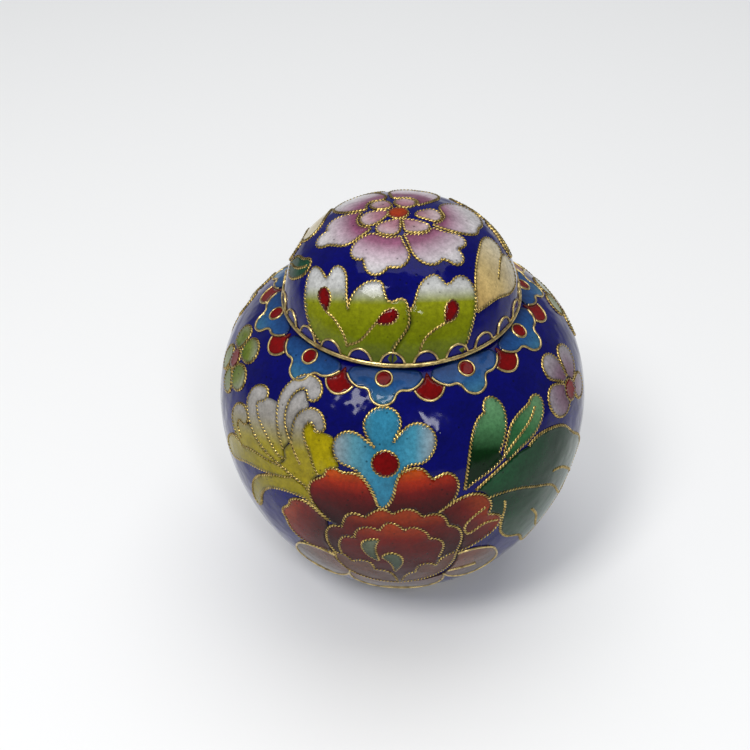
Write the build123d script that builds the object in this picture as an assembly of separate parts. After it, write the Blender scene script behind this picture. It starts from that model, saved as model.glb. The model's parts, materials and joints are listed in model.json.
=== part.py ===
"""Cloisonne ginger jar: a spun copper jar with a loose domed lid, coated with fired enamel.

The copper is coated with cobalt enamel.  On the coat stand thin wires that enclose cells of
coloured enamel.  A motif is drawn in the plane that touches the surface at its anchor, which is
an azimuth (0 faces -Y, growing towards +X) and a height.  Its wires and cells are then cut from
thin skins of revolution, straight along the anchor's normal.  Millimetres; z = 0 is the foot.
"""
from build123d import *
from math import acos, asin, cos, degrees, pi, radians, sin, sqrt
import os

# Driving dimensions of the jar: a belly of tangent arcs, given outside the enamel
BELLY_Z = 35.5            # height of the widest circle
BELLY_R = 34.5
UPPER_ARC, UPPER_TURN = 33.8, 15.1
SHOULDER_ARC = 20.8
LOWER_ARC, LOWER_TURN = 45.0, 30.0
FOOT_ARC = 33.0
FOOT_H = 2.2
FOOT_OUTER_R, FOOT_INNER_R = 17.9, 15.8

# Driving dimensions of the lid: a side arc and a crown arc
LID_Z = BELLY_Z + 23.1
LID_R = 20.86
LID_H = 16.7
LID_SIDE_ARC = 15.5
LID_EDGE_Z = LID_Z + 0.65
RIM_Z0, RIM_Z1 = LID_Z + 0.2, LID_Z + 1.2
RIM_OUTER_R, RIM_INNER_R = 20.95, 19.9

# Layers, from the surface inwards, and the neck
ENAMEL, COPPER, LINING = 0.7, 0.8, 0.4
BASE_PLATE = 0.8
NECK_R, NECK_WALL = 17.8, 0.9
NECK_TOP_Z = BELLY_Z + 27.6
NECK_EDGE_FILLET = 0.35

# Wires stand a little higher than the enamel cells between them
WIRE_W = 0.55
WIRE_DEPTH, WIRE_RISE = 0.12, 0.34
CELL_RISE = 0.18
CUT_BELOW, CUT_ABOVE = 14.0, 5.0

LAPPETS, FIRST_PENDANT = 10, 10.6
SCALLOPS, FIRST_SCALLOP = 24, -4.25
SCALLOP_HEIGHT = 1.5


# ---------------------------------------------------------------- profiles
def jar_arcs():
    """Centre, radius, start and end angle of the belly's four tangent arcs, foot to neck."""
    cx = BELLY_R - UPPER_ARC
    jx, jz = cx + UPPER_ARC * cos(radians(UPPER_TURN)), UPPER_ARC * sin(radians(UPPER_TURN))
    sx = jx - SHOULDER_ARC * cos(radians(UPPER_TURN))
    sz = jz - SHOULDER_ARC * sin(radians(UPPER_TURN))
    lx = BELLY_R - LOWER_ARC
    kx, kz = lx + LOWER_ARC * cos(radians(LOWER_TURN)), -LOWER_ARC * sin(radians(LOWER_TURN))
    fx, fz = kx - FOOT_ARC * cos(radians(LOWER_TURN)), kz + FOOT_ARC * sin(radians(LOWER_TURN))
    return [
        ((fx, BELLY_Z + fz), FOOT_ARC, None, -LOWER_TURN),
        ((lx, BELLY_Z), LOWER_ARC, -LOWER_TURN, 0),
        ((cx, BELLY_Z), UPPER_ARC, 0, UPPER_TURN),
        ((sx, BELLY_Z + sz), SHOULDER_ARC, UPPER_TURN, None),
    ]


def lid_arcs():
    """Centre, radius, start and end angle of the lid's two tangent arcs, edge to crown."""
    half = (LID_H - LID_SIDE_ARC) / (LID_R - LID_SIDE_ARC)
    turn = 90 - 2 * degrees(atan_of(half))
    cx = LID_R - LID_SIDE_ARC
    crown = cx / cos(radians(turn)) + LID_SIDE_ARC
    cz = LID_Z + (LID_SIDE_ARC - crown) * sin(radians(turn))
    return [((cx, LID_Z), LID_SIDE_ARC, 0, turn), ((0, cz), crown, turn, 90)]


def atan_of(slope):
    return asin(slope / sqrt(1 + slope * slope))


def radius_at(arcs, z):
    """Outer radius of the surface at height z."""
    for (cx, cz), r, a0, a1 in arcs:
        low = cz - r if a0 is None else cz + r * sin(radians(a0))
        high = cz + r if a1 is None else cz + r * sin(radians(a1))
        if low <= z <= high + 1e-6:
            return cx + sqrt(max(r * r - (z - cz) ** 2, 0))
    raise ValueError(f"no surface at {z}")


def revolve_section(edges, *corners):
    """Close a chain of profile edges through the given corners and turn it about Z."""
    chain = Wire(edges)
    points = [chain @ 1, *[Vector(x, 0, z) for x, z in corners], chain @ 0]
    sides = [Line(a, b) for a, b in zip(points, points[1:]) if (a - b).length > 1e-6]
    return revolve(make_face(Wire([*chain.edges(), *sides])), Axis.Z)


def arc_edges(arcs, offset, z_low=None, r_high=None):
    """The arcs, offset along their normals, from height z_low to radius r_high."""
    edges = []
    for (cx, cz), r, a0, a1 in arcs:
        size = r + offset
        if z_low is not None and edges == []:
            a0 = degrees(asin((z_low - cz) / size))
        if r_high is not None and a1 is None:
            a1 = degrees(acos((r_high - cx) / size))
        edges.append(Edge.make_circle(size, Plane((cx, 0, cz), (1, 0, 0), (0, -1, 0)), a0, a1))
    return edges


def jar_solid(offset, z_low=FOOT_H, r_high=NECK_R):
    """Everything inside the jar's surface, moved by the offset, from z_low up to the neck."""
    edges = arc_edges(jar_arcs(), offset, z_low, r_high)
    return revolve_section(edges, (0, (Wire(edges) @ 1).Z), (0, z_low))


def lid_solid(offset, z_low=LID_EDGE_Z):
    """Everything inside the lid's surface, moved by the offset, above z_low."""
    return revolve_section(arc_edges(lid_arcs(), offset, z_low), (0, z_low))


def tube(r_outer, r_inner, z0, z1):
    section = Pos((r_outer + r_inner) / 2, 0, (z0 + z1) / 2) * Rot(90, 0, 0) * Rectangle(
        r_outer - r_inner, z1 - z0)
    return revolve(section, Axis.Z)


# ---------------------------------------------------------------- structure
def jar_structure():
    neck_hole = Pos(0, 0, BELLY_Z + 20) * Cylinder(NECK_R, 40)
    shell = jar_solid(-ENAMEL) - jar_solid(-ENAMEL - COPPER) - neck_hole
    coat = jar_solid(0) - jar_solid(-ENAMEL) - neck_hole
    inner = -ENAMEL - COPPER
    floor_z = FOOT_H + BASE_PLATE
    plate = jar_solid(inner) - Pos(0, 0, floor_z + 50) * Cylinder(60, 100)
    lining = jar_solid(inner, floor_z) - jar_solid(inner - LINING, floor_z + LINING) - neck_hole
    (cx, cz), r, _, _ = jar_arcs()[-1]
    neck_foot = cz + sqrt((r + inner - LINING) ** 2 - (NECK_R - cx) ** 2)
    neck = tube(NECK_R, NECK_R - NECK_WALL, neck_foot, NECK_TOP_Z)
    neck = fillet(neck.edges().filter_by(GeomType.CIRCLE).group_by(Axis.Z)[-1], NECK_EDGE_FILLET)
    return {
        "body_shell": shell,
        "neck_collar": neck,
        "foot_ring": tube(FOOT_OUTER_R, FOOT_INNER_R, 0, FOOT_H),
        "base_plate": plate,
        "base_enamel": Pos(0, 0, FOOT_H - LINING / 2) * Cylinder(FOOT_INNER_R, LINING),
        "lining_enamel": lining,
        "ground_enamel": coat,
    }


def lid_structure():
    inner = -ENAMEL - COPPER
    ring = tube(RIM_OUTER_R, RIM_INNER_R, RIM_Z0, RIM_Z1) - lid_solid(-ENAMEL)
    ring = fillet(ring.edges().filter_by(GeomType.CIRCLE).sort_by(
        lambda e: -e.radius)[0:2], 0.25)
    return {
        "lid_shell": lid_solid(-ENAMEL) - lid_solid(inner),
        "lid_lining": lid_solid(inner) - lid_solid(inner - LINING),
        "lid_ground_enamel": lid_solid(0, RIM_Z1) - lid_solid(-ENAMEL, RIM_Z1),
        "lid_rim_ring": ring,
    }


# ---------------------------------------------------------------- motifs
def ring(cx, cy, r, count=12):
    """A closed round wire."""
    turn = [2 * pi * k / count for k in range(count + 1)]
    return [(cx + r * cos(a), cy + r * sin(a)) for a in turn]


def mirrored(half):
    """A wire that is symmetric about x = 0, from its points on the right, centre first."""
    return [(-x, y) for x, y in reversed(half[1:])] + half


# Each motif: surface, azimuth, height, copies, wires, cells.  A wire's name that starts with "_"
# closes a cell against its neighbour, where that neighbour's wire stands.  A cell is a list of
# wires in order, with "-" before one that runs backwards.
MOTIFS = {
    "lappet": dict(
        surface="jar", azimuth=FIRST_PENDANT + 18, height=20.0, copies=LAPPETS,
        wires={
            "edge": mirrored([(0, -0.6), (1.0, -0.35), (1.9, 0.5), (2.3, 1.6), (2.9, 2.15),
                              (3.9, 2.25), (4.9, 2.7), (5.8, 3.6), (6.3, 4.6)]),
            "dot": ring(-0.1, 4.0, 1.35),
            "_rim": [(6.3, 4.6), (5.9, 5.4), (3.2, 5.9), (0, 6.1), (-3.2, 5.9), (-5.9, 5.4),
                     (-6.3, 4.6)],
        },
        cells={"lappets": [["edge", "_rim"]], "lappet_dots": [["dot"]]},
        cut={"lappets": "lappet_dots"}),
    "pendant": dict(
        surface="jar", azimuth=FIRST_PENDANT, height=20.0, copies=LAPPETS,
        wires={
            "bow": mirrored([(0, 0), (1.0, 0.25), (1.9, 0.95), (2.5, 2.05)]),
            "_sides": [(2.5, 2.05), (1.4, 2.7), (0.6, 3.6), (0, 4.8), (-0.6, 3.6), (-1.4, 2.7),
                       (-2.5, 2.05)],
        },
        cells={"pendants": [["bow", "_sides"]]}),
    "scallop": dict(
        surface="lid", azimuth=FIRST_SCALLOP, height=SCALLOP_HEIGHT, copies=SCALLOPS,
        wires={
            "arch": mirrored([(0, 1.7), (0.8, 1.5), (1.6, 0.75), (2.0, -0.3)]),
            "_base": [(2.0, -0.3), (-2.0, -0.3)],
        },
        cells={"scallops": [["arch", "_base"]]}),
    "lid_flower": dict(
        surface="lid", azimuth=0, height=None, copies=1,
        wires={
            "heart": ring(-0.4, 0.1, 1.65),
            "inner_1": [(-0.3, -1.9), (-1.7, -2.1), (-3.0, -2.5), (-4.0, -3.4), (-3.8, -4.7),
                        (-2.5, -5.5), (-1.1, -5.6), (-0.3, -4.9), (-0.1, -3.4), (-0.3, -1.9)],
            "inner_2": [(0.5, -1.9), (1.8, -1.9), (3.4, -2.3), (4.7, -3.1), (4.5, -4.2),
                        (3.3, -4.9), (1.9, -5.1), (0.8, -4.8), (0.5, -3.4), (0.5, -1.9)],
            "inner_3": [(2.6, -0.5), (4.2, -1.3), (5.8, -1.6), (6.7, -0.7), (6.8, 0.6),
                        (6.2, 1.7), (5.1, 2.0), (3.8, 1.3), (2.8, 0.5), (2.6, -0.5)],
            "inner_4": [(0.3, 2.1), (1.6, 2.2), (2.5, 3.3), (2.4, 4.6), (1.3, 5.4),
                        (-0.2, 5.3), (-1.0, 4.4), (-0.8, 3.1), (0.3, 2.1)],
            "inner_5": [(-1.6, 2.3), (-1.8, 3.7), (-2.8, 4.9), (-4.4, 4.9), (-5.1, 3.6),
                        (-4.4, 2.2), (-3.0, 1.8), (-1.6, 2.3)],
            "inner_6": [(-2.3, 0.9), (-3.8, 1.2), (-5.5, 1.1), (-6.6, 0.1), (-6.6, -1.5),
                        (-5.6, -2.7), (-4.3, -2.6), (-3.2, -1.7), (-2.4, -0.6), (-2.3, 0.9)],
            "outer_1a": [(-0.1, -6.0), (0.6, -7.9), (1.3, -9.7), (1.0, -11.0), (0.0, -11.9),
                         (-1.2, -12.0), (-2.1, -11.9)],
            "outer_1b": [(-2.1, -11.9), (-2.9, -12.6), (-4.1, -12.9), (-5.3, -12.3),
                         (-5.9, -11.2), (-6.1, -9.9)],
            "outer_1c": [(-6.1, -9.9), (-7.3, -9.6), (-8.1, -8.5), (-8.0, -7.1), (-7.1, -5.9),
                         (-5.9, -5.2), (-4.6, -5.0), (-3.0, -5.9), (-1.4, -6.3), (-0.1, -6.0)],
            "outer_2a": [(0.5, -5.7), (1.3, -7.8), (2.0, -9.6), (3.0, -10.7), (4.4, -11.2),
                         (5.7, -10.9), (6.7, -9.9)],
            "outer_2b": [(6.7, -9.9), (7.6, -9.9), (8.7, -10.2), (9.8, -9.7), (10.2, -8.6),
                         (9.3, -7.1)],
            "outer_2c": [(9.3, -7.1), (10.3, -6.2), (10.7, -5.0), (10.1, -4.1), (8.4, -3.9),
                         (6.6, -3.9), (5.2, -3.7), (4.6, -4.7), (3.3, -5.4), (1.9, -5.6),
                         (0.5, -5.7)],
            "outer_3a": [(5.3, -2.7), (7.4, -3.2), (9.7, -3.2), (11.5, -2.7), (12.8, -1.5),
                         (13.1, 0.2)],
            "outer_3b": [(13.1, 0.2), (13.8, 1.8), (13.9, 3.7), (13.3, 5.4), (12.0, 6.6),
                         (10.4, 6.9), (8.8, 6.3), (7.4, 5.0), (6.7, 3.4), (6.9, 2.1),
                         (7.4, 0.6), (7.1, -0.9), (6.3, -2.0), (5.3, -2.7)],
            "outer_4a": [(3.0, 3.0), (4.5, 4.4), (5.9, 6.4), (6.7, 8.7), (6.1, 10.7),
                         (4.6, 11.7), (3.3, 11.6)],
            "outer_4b": [(3.3, 11.6), (1.9, 12.5), (0.2, 12.3), (-1.2, 11.4), (-1.9, 9.8),
                         (-1.7, 7.8), (-1.1, 6.1), (0.2, 6.0), (1.8, 5.8), (2.9, 4.6),
                         (3.0, 3.0)],
            "outer_5a": [(-5.8, 2.5), (-8.0, 2.8), (-10.0, 3.8), (-11.3, 5.6), (-11.6, 7.6),
                         (-10.5, 9.4)],
            "outer_5b": [(-10.5, 9.4), (-9.7, 11.0), (-7.8, 12.0), (-5.8, 11.7), (-4.2, 10.6),
                         (-3.0, 8.6), (-2.6, 6.4), (-3.3, 5.5), (-4.8, 5.5), (-5.8, 4.2),
                         (-5.8, 2.5)],
            "outer_6a": [(-6.6, 1.7), (-8.3, 2.0), (-10.2, 2.3), (-11.7, 1.8), (-12.4, 0.6),
                         (-12.4, -0.8)],
            "outer_6b": [(-12.4, -0.8), (-13.7, -1.4), (-14.2, -2.7), (-13.5, -4.1),
                         (-12.0, -4.6)],
            "outer_6c": [(-12.0, -4.6), (-10.8, -5.4), (-9.3, -6.1), (-7.9, -5.8), (-6.4, -4.8),
                         (-5.1, -3.6), (-6.3, -2.9), (-7.2, -1.6), (-7.3, 0.1), (-6.6, 1.7)],
        },
        cells={
            "lid_flower_heart": [["heart"]],
            "lid_flower_inner_petals": [[f"inner_{k}"] for k in range(1, 7)],
            "lid_flower_petals": [
                ["outer_1a", "outer_1b", "outer_1c"], ["outer_2a", "outer_2b", "outer_2c"],
                ["outer_3a", "outer_3b"], ["outer_4a", "outer_4b"], ["outer_5a", "outer_5b"],
                ["outer_6a", "outer_6b", "outer_6c"]],
        }),
    "lotus": dict(
        surface="lid", azimuth=0, height=8.0, copies=2,
        wires={
            "left_a": [(-13.4, -4.0), (-14.8, -2.0), (-15.6, 0.2), (-16.0, 2.8), (-15.8, 5.4),
                       (-15.2, 7.4), (-14.2, 8.4), (-13.2, 7.9), (-12.4, 6.7)],
            "left_b": [(-12.4, 6.7), (-11.7, 7.3), (-11.1, 8.3), (-10.2, 8.6), (-9.3, 8.0),
                       (-8.9, 6.6), (-8.9, 4.4), (-8.6, 1.9)],
            "left_c": [(-8.6, 1.9), (-8.2, 3.5), (-7.3, 4.9), (-6.0, 5.9), (-4.5, 6.4),
                       (-3.2, 6.1), (-2.8, 4.9), (-2.3, 3.4)],
            "left_d": [(-2.3, 3.4), (-1.5, 3.1), (-0.5, 3.5), (0.5, 3.4), (1.0, 2.4),
                       (1.2, 1.0), (1.1, -0.4), (0.5, -1.7), (-0.4, -2.9), (-1.2, -4.1),
                       (-1.6, -5.2)],
            "right_a": [(1.3, 1.6), (2.0, 2.7), (2.5, 4.3), (3.2, 5.9), (4.3, 6.9), (5.5, 7.2),
                        (6.4, 6.6), (7.2, 5.7)],
            "right_b": [(7.2, 5.7), (8.0, 5.9), (8.7, 6.6), (9.8, 6.9), (10.9, 6.3),
                        (11.8, 4.9), (12.1, 3.0), (11.9, 0.8), (11.4, -1.4), (10.7, -3.6),
                        (10.1, -5.3)],
            "stem_1": [(-12.3, 1.4), (-11.1, 0.4), (-10.1, -1.0), (-9.3, -2.6), (-8.9, -4.3)],
            "stem_2": [(-4.1, -0.2), (-5.0, -1.2), (-6.1, -2.5), (-7.4, -3.5), (-8.7, -3.9)],
            "stem_3": [(7.1, -0.3), (5.6, -1.2), (4.1, -2.4), (3.2, -3.9), (2.8, -5.4)],
            "bud_1a": [(-12.3, 1.4), (-13.1, 2.6), (-13.6, 4.0), (-12.9, 5.1), (-12.2, 5.2)],
            "bud_1b": [(-12.2, 5.2), (-11.6, 4.2), (-11.7, 2.7), (-12.3, 1.4)],
            "bud_2a": [(-4.1, -0.2), (-3.3, 1.0), (-2.2, 1.9), (-1.1, 2.0), (-0.5, 1.2)],
            "bud_2b": [(-0.5, 1.2), (-1.1, 0.1), (-2.4, -0.4), (-4.1, -0.2)],
            "bud_3a": [(7.1, -0.3), (7.0, 1.2), (7.4, 2.7), (8.2, 3.3)],
            "bud_3b": [(8.2, 3.3), (9.0, 2.6), (9.1, 1.3), (8.4, 0.2), (7.1, -0.3)],
            "_left_foot": [(-1.6, -5.2), (-1.9, -7.3), (-6.0, -7.1), (-10.0, -6.1),
                           (-13.2, -5.0), (-13.4, -4.0)],
            "_right_foot": [(10.1, -5.3), (9.6, -6.3), (5.0, -7.2), (1.0, -7.5), (-1.6, -7.3)],
            "_between": [(-1.6, -7.3), (-1.3, -5.2), (-0.9, -4.1), (-0.1, -2.9), (0.8, -1.7),
                         (1.4, -0.4), (1.4, 0.8), (1.3, 1.6)],
        },
        cells={
            "lotus_petals": [["left_a", "left_b", "left_c", "left_d", "_left_foot"],
                             ["right_a", "right_b", "_right_foot", "_between"]],
            "lotus_buds": [["bud_1a", "bud_1b"], ["bud_2a", "bud_2b"], ["bud_3a", "bud_3b"]],
        },
        cut={"lotus_petals": "lotus_buds"}, clear_of_scallops=True),
    "cream_petal": dict(
        surface="lid", azimuth=55, height=7.0, copies=2,
        wires={
            "top": [(-5.0, 0.2), (-4.3, 1.7), (-3.3, 3.3), (-2.0, 4.8), (-0.3, 6.1),
                    (1.6, 7.1), (3.6, 7.8), (5.6, 8.2), (7.4, 7.8), (8.5, 6.5), (8.3, 5.0),
                    (7.3, 4.3)],
            "low": [(7.3, 4.3), (8.7, 3.7), (9.5, 2.3), (9.4, 0.5), (8.3, -0.9), (6.2, -1.5),
                    (3.9, -1.3), (1.8, -0.6), (0.0, -0.1), (-2.4, 0.1), (-5.0, 0.2)],
            "fold": [(2.6, 2.1), (4.0, 3.0), (5.6, 3.8), (7.3, 4.3)],
        },
        cells={"cream_petals": [["top", "low"]]}),
    "lid_leaf": dict(
        surface="lid", azimuth=-60, height=7.0, copies=2,
        wires={
            "top": [(-1.8, 3.9), (-2.3, 5.0), (-3.2, 5.2), (-4.5, 4.5), (-6.2, 4.0),
                    (-7.9, 3.2), (-9.0, 1.6)],
            "low": [(-9.0, 1.6), (-7.6, 0.2), (-5.8, 0.1), (-4.2, 0.8), (-2.9, 1.8),
                    (-2.0, 2.9), (-1.8, 3.9)],
            "vein": [(-2.6, 4.2), (-4.2, 2.9), (-6.2, 2.0), (-8.0, 1.7)],
        },
        cells={"lid_leaves": [["top", "low"]]}),
    "blue_flower": dict(
        surface="jar", azimuth=-4, height=12.0, copies=2,
        wires={
            "heart": ring(-0.65, 0.3, 2.15),
            "top": [(-2.4, 2.95), (-3.3, 4.0), (-4.0, 5.2), (-4.3, 6.6), (-3.7, 8.0),
                    (-2.4, 9.0), (-0.8, 9.2), (0.7, 8.7), (1.5, 7.6), (1.6, 6.4), (1.1, 5.2),
                    (0.6, 3.9)],
            "right": [(0.6, 3.9), (1.6, 5.2), (2.8, 6.4), (4.3, 6.9), (5.9, 6.5), (7.0, 5.5),
                      (7.4, 4.1), (7.1, 2.6), (6.3, 1.3), (5.1, 0.5), (3.7, 0.3),
                      (2.6, -0.3), (1.7, -1.4)],
            "tail": [(1.7, -1.4), (1.2, -2.9), (0.9, -4.6), (0.5, -6.2), (-0.2, -7.4),
                     (-1.1, -7.9), (-1.9, -7.3), (-2.3, -5.9), (-3.1, -4.0), (-4.2, -2.3),
                     (-5.2, -1.3)],
            "left": [(-5.2, -1.3), (-6.3, -0.7), (-7.6, -0.3), (-8.8, 0.6), (-9.3, 2.0),
                     (-9.1, 3.5), (-8.2, 4.6), (-6.9, 5.1), (-5.4, 4.9), (-4.1, 4.1),
                     (-2.4, 2.95)],
        },
        cells={"blue_flower_petals": [["top", "right", "tail", "left"]],
               "blue_flower_hearts": [["heart"]]},
        cut={"blue_flower_petals": "blue_flower_hearts"}),
    "peony_crown": dict(
        surface="jar", azimuth=0, height=2.0, copies=2,
        wires={
            "left_top": [(-4.2, 2.4), (-4.7, 4.1), (-5.4, 5.7), (-6.2, 7.1), (-7.2, 8.0),
                         (-8.4, 8.3), (-9.8, 8.1), (-11.2, 8.5), (-12.6, 8.1)],
            "left_side": [(-12.6, 8.1), (-13.2, 6.7), (-14.2, 5.9), (-15.3, 4.9), (-15.8, 3.5),
                          (-15.7, 2.0), (-15.1, 0.4), (-13.9, -1.2), (-12.4, -2.7)],
            "_left_foot": [(-12.4, -2.7), (-10.8, -3.5), (-10.1, -2.2), (-9.3, -0.6),
                           (-8.0, 0.1), (-6.6, 0.0), (-5.5, 0.9), (-4.2, 2.4)],
            "right_top": [(-3.1, 2.4), (-2.2, 3.7), (-1.6, 5.4), (-1.2, 7.1), (-0.6, 8.5),
                          (0.7, 9.4), (2.2, 9.7), (3.5, 9.2), (4.2, 8.3), (4.9, 7.6)],
            "right_side": [(4.9, 7.6), (5.9, 8.0), (7.1, 8.3), (8.3, 7.7), (9.0, 6.4),
                           (9.0, 4.8), (8.4, 3.3), (7.2, 2.0), (5.7, 0.8)],
            "_right_foot": [(5.7, 0.8), (4.4, 0.8), (3.3, 0.4), (2.6, 1.3), (1.5, 2.1),
                            (0.2, 2.2), (-1.6, 1.3), (-3.1, 2.4)],
        },
        cells={"peony_crown_petals": [["left_top", "left_side", "_left_foot"],
                                      ["right_top", "right_side", "_right_foot"]]}),
    "peony": dict(
        surface="jar", azimuth=0, height=-6.0, copies=2,
        wires={
            "outer_a": [(-11.9, -4.3), (-12.8, -2.6), (-13.3, -0.6), (-13.3, 1.3),
                        (-12.8, 3.0), (-11.8, 4.0), (-10.5, 4.3)],
            "outer_b": [(-10.5, 4.3), (-10.2, 5.6), (-9.8, 6.9), (-9.0, 7.9), (-7.8, 8.1),
                        (-6.5, 7.7)],
            "outer_c": [(-6.5, 7.7), (-5.8, 8.4), (-4.8, 9.3), (-3.6, 9.8), (-2.5, 9.5),
                        (-1.7, 9.0)],
            "outer_d": [(-1.7, 9.0), (-0.8, 9.6), (0.4, 10.0), (1.7, 9.7), (2.6, 9.0),
                        (3.2, 8.2)],
            "outer_e": [(3.2, 8.2), (4.3, 8.5), (5.5, 8.4), (6.6, 7.7), (7.2, 6.5),
                        (7.5, 5.3)],
            "outer_f": [(7.5, 5.3), (8.6, 4.7), (9.5, 3.5), (9.9, 1.8), (9.8, 0.0),
                        (9.5, -1.4), (9.1, -2.7)],
            "inner_a": [(-10.8, -4.0), (-11.2, -2.2), (-11.1, -0.3), (-10.6, 1.2),
                        (-9.6, 2.0), (-8.4, 2.1)],
            "inner_b": [(-8.4, 2.1), (-8.2, 3.4), (-7.6, 4.6), (-6.5, 5.3), (-5.2, 5.4),
                        (-4.1, 4.9)],
            "inner_c": [(-4.1, 4.9), (-3.6, 5.9), (-2.8, 6.8), (-1.8, 6.9), (-0.7, 6.2),
                        (0.1, 5.2)],
            "inner_d": [(0.1, 5.2), (1.0, 5.8), (2.1, 5.7), (3.2, 5.0), (4.0, 3.9),
                        (4.3, 2.7)],
            "inner_e": [(4.3, 2.7), (5.4, 2.4), (6.4, 1.5), (6.8, 0.1), (6.6, -1.5),
                        (6.1, -3.4)],
            "rim_left": [(-11.9, -4.3), (-10.8, -4.1), (-9.8, -4.9), (-9.0, -6.0)],
            "lobe_left": [(-9.0, -6.0), (-8.2, -5.3), (-7.1, -4.9), (-6.1, -5.2),
                          (-5.5, -6.3), (-5.2, -7.8)],
            "tip_left": [(-5.2, -7.8), (-4.1, -8.0), (-3.1, -8.3), (-2.2, -9.3),
                         (-1.6, -11.0), (-1.2, -13.0)],
            "tip_right": [(-0.5, -13.0), (-0.1, -11.3), (0.5, -9.7), (1.2, -8.9),
                          (2.0, -8.5)],
            "lobe_right": [(2.0, -8.5), (2.2, -7.1), (2.7, -5.9), (3.7, -5.4), (4.7, -5.6),
                           (5.6, -6.5)],
            "rim_right": [(5.6, -6.5), (6.1, -5.1), (6.8, -4.0), (7.8, -3.2), (9.1, -2.7)],
            "bowl_left": [(-11.9, -4.3), (-12.0, -6.2), (-11.4, -8.1), (-10.2, -10.1),
                          (-8.4, -11.9), (-6.2, -13.2), (-3.6, -13.9), (-0.9, -14.0)],
            "bowl_right": [(-0.9, -14.0), (1.6, -13.3), (4.2, -12.0), (6.2, -10.3),
                           (7.8, -8.1), (8.7, -5.8), (9.1, -2.7)],
            "comma_1a": [(-4.3, 2.4), (-5.8, 2.2), (-6.9, 1.4), (-7.2, 0.0), (-6.7, -1.8),
                         (-5.7, -3.2), (-4.4, -4.1)],
            "comma_1b": [(-4.4, -4.1), (-4.8, -1.8), (-4.9, 0.2), (-4.3, 2.4)],
            "comma_2a": [(-3.8, -2.9), (-3.2, -1.9), (-2.2, -1.4), (-1.1, -1.8),
                         (-0.4, -3.0), (-0.3, -4.5), (-0.8, -6.3), (-1.6, -8.1)],
            "comma_2b": [(-1.6, -8.1), (-1.9, -6.2), (-2.5, -4.5), (-3.8, -2.9)],
            "side_right_a": [(5.9, 8.8), (7.4, 9.7), (9.0, 10.5), (10.7, 10.9), (12.4, 10.6),
                             (13.8, 9.6), (14.6, 8.2), (14.8, 6.6), (14.4, 5.2)],
            "side_right_b": [(14.4, 5.2), (15.7, 4.4), (16.6, 3.3), (16.6, 1.8), (15.8, 0.4),
                             (14.4, -0.8), (12.6, -1.8), (10.8, -2.6), (9.5, -2.9)],
            "side_fold": [(13.9, 7.1), (12.5, 6.3), (11.1, 5.2), (10.4, 3.9), (10.5, 2.6),
                          (11.0, 1.8), (12.0, 2.1), (13.3, 2.9), (14.8, 3.1), (16.2, 2.6)],
            "_side_right_seam": [(9.5, -2.9), (9.9, -0.6), (10.1, 1.8), (9.7, 3.7),
                                 (8.8, 5.0), (7.7, 5.6), (7.4, 6.8), (6.8, 7.9), (5.9, 8.8)],
            "side_left_a": [(-13.1, 4.9), (-14.4, 6.0), (-15.7, 6.9), (-17.2, 7.2),
                            (-18.6, 6.6), (-19.5, 5.5)],
            "side_left_b": [(-19.5, 5.5), (-19.9, 4.0), (-20.7, 2.8), (-21.1, 1.4),
                            (-20.6, 0.0)],
            "side_left_c": [(-20.6, 0.0), (-20.3, -1.6), (-19.5, -3.3), (-18.2, -4.5),
                            (-16.4, -4.9), (-14.4, -4.7), (-12.2, -4.5)],
            "_side_left_seam": [(-12.2, -4.5), (-13.0, -2.7), (-13.5, -0.6), (-13.5, 1.4),
                                (-13.0, 3.2), (-13.1, 4.9)],
            "_band_right": [(9.1, -2.7), (7.8, -3.1), (6.7, -3.8), (6.1, -3.4)],
            "_band_left": [(-10.8, -4.0), (-11.9, -4.3)],
            "_face_right": [(6.1, -3.4), (6.0, -4.9), (5.6, -6.5)],
            "_face_tip": [(-0.5, -13.0), (-0.9, -13.6), (-1.2, -13.0)],
            "_face_left": [(-9.0, -6.0), (-9.8, -4.9), (-10.8, -4.0)],
            "_tip_seam": [(-1.2, -13.0), (-0.9, -14.0)],
            "_tip_seam_right": [(-0.9, -14.0), (-0.5, -13.0)],
        },
        cells={
            "peony_bands": [["outer_a", "outer_b", "outer_c", "outer_d", "outer_e", "outer_f",
                             "_band_right", "-inner_e", "-inner_d", "-inner_c", "-inner_b",
                             "-inner_a", "_band_left"]],
            "peony_faces": [["inner_a", "inner_b", "inner_c", "inner_d", "inner_e",
                             "_face_right", "-lobe_right", "-tip_right", "_face_tip",
                             "-tip_left", "-lobe_left", "_face_left"]],
            "peony_bowls": [["rim_left", "lobe_left", "tip_left", "_tip_seam", "-bowl_left"],
                            ["tip_right", "lobe_right", "rim_right", "-bowl_right",
                             "_tip_seam_right"]],
            "peony_commas": [["comma_1a", "comma_1b"], ["comma_2a", "comma_2b"]],
            "peony_side_petals": [["side_right_a", "side_right_b", "_side_right_seam"],
                                  ["side_left_a", "side_left_b", "side_left_c",
                                   "_side_left_seam"]],
        },
        cut={"peony_faces": "peony_commas"}),
    "peony_foot": dict(
        surface="jar", azimuth=0, height=-16.0, copies=2,
        wires={
            "left": [(-12.2, 4.1), (-14.2, 4.6), (-16.2, 4.2), (-18.2, 2.8), (-19.3, 0.4),
                     (-19.7, -2.4), (-19.0, -5.2), (-17.2, -7.4), (-14.8, -8.2),
                     (-12.4, -7.2), (-10.8, -5.2), (-10.0, -3.0), (-9.8, -0.9)],
            "middle": [(-9.8, -0.9), (-9.9, -3.6), (-8.9, -6.4), (-6.8, -8.8), (-3.8, -10.3),
                       (-0.4, -10.7), (3.0, -9.8), (5.6, -7.6), (7.0, -4.6), (7.1, -1.3)],
            "right": [(9.4, 6.2), (11.8, 6.2), (14.0, 5.1), (15.8, 3.2), (16.6, 0.7),
                      (16.9, -2.2), (16.0, -5.0), (13.8, -6.8), (11.2, -6.6), (9.2, -4.9),
                      (7.8, -3.0), (7.1, -1.3)],
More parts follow.
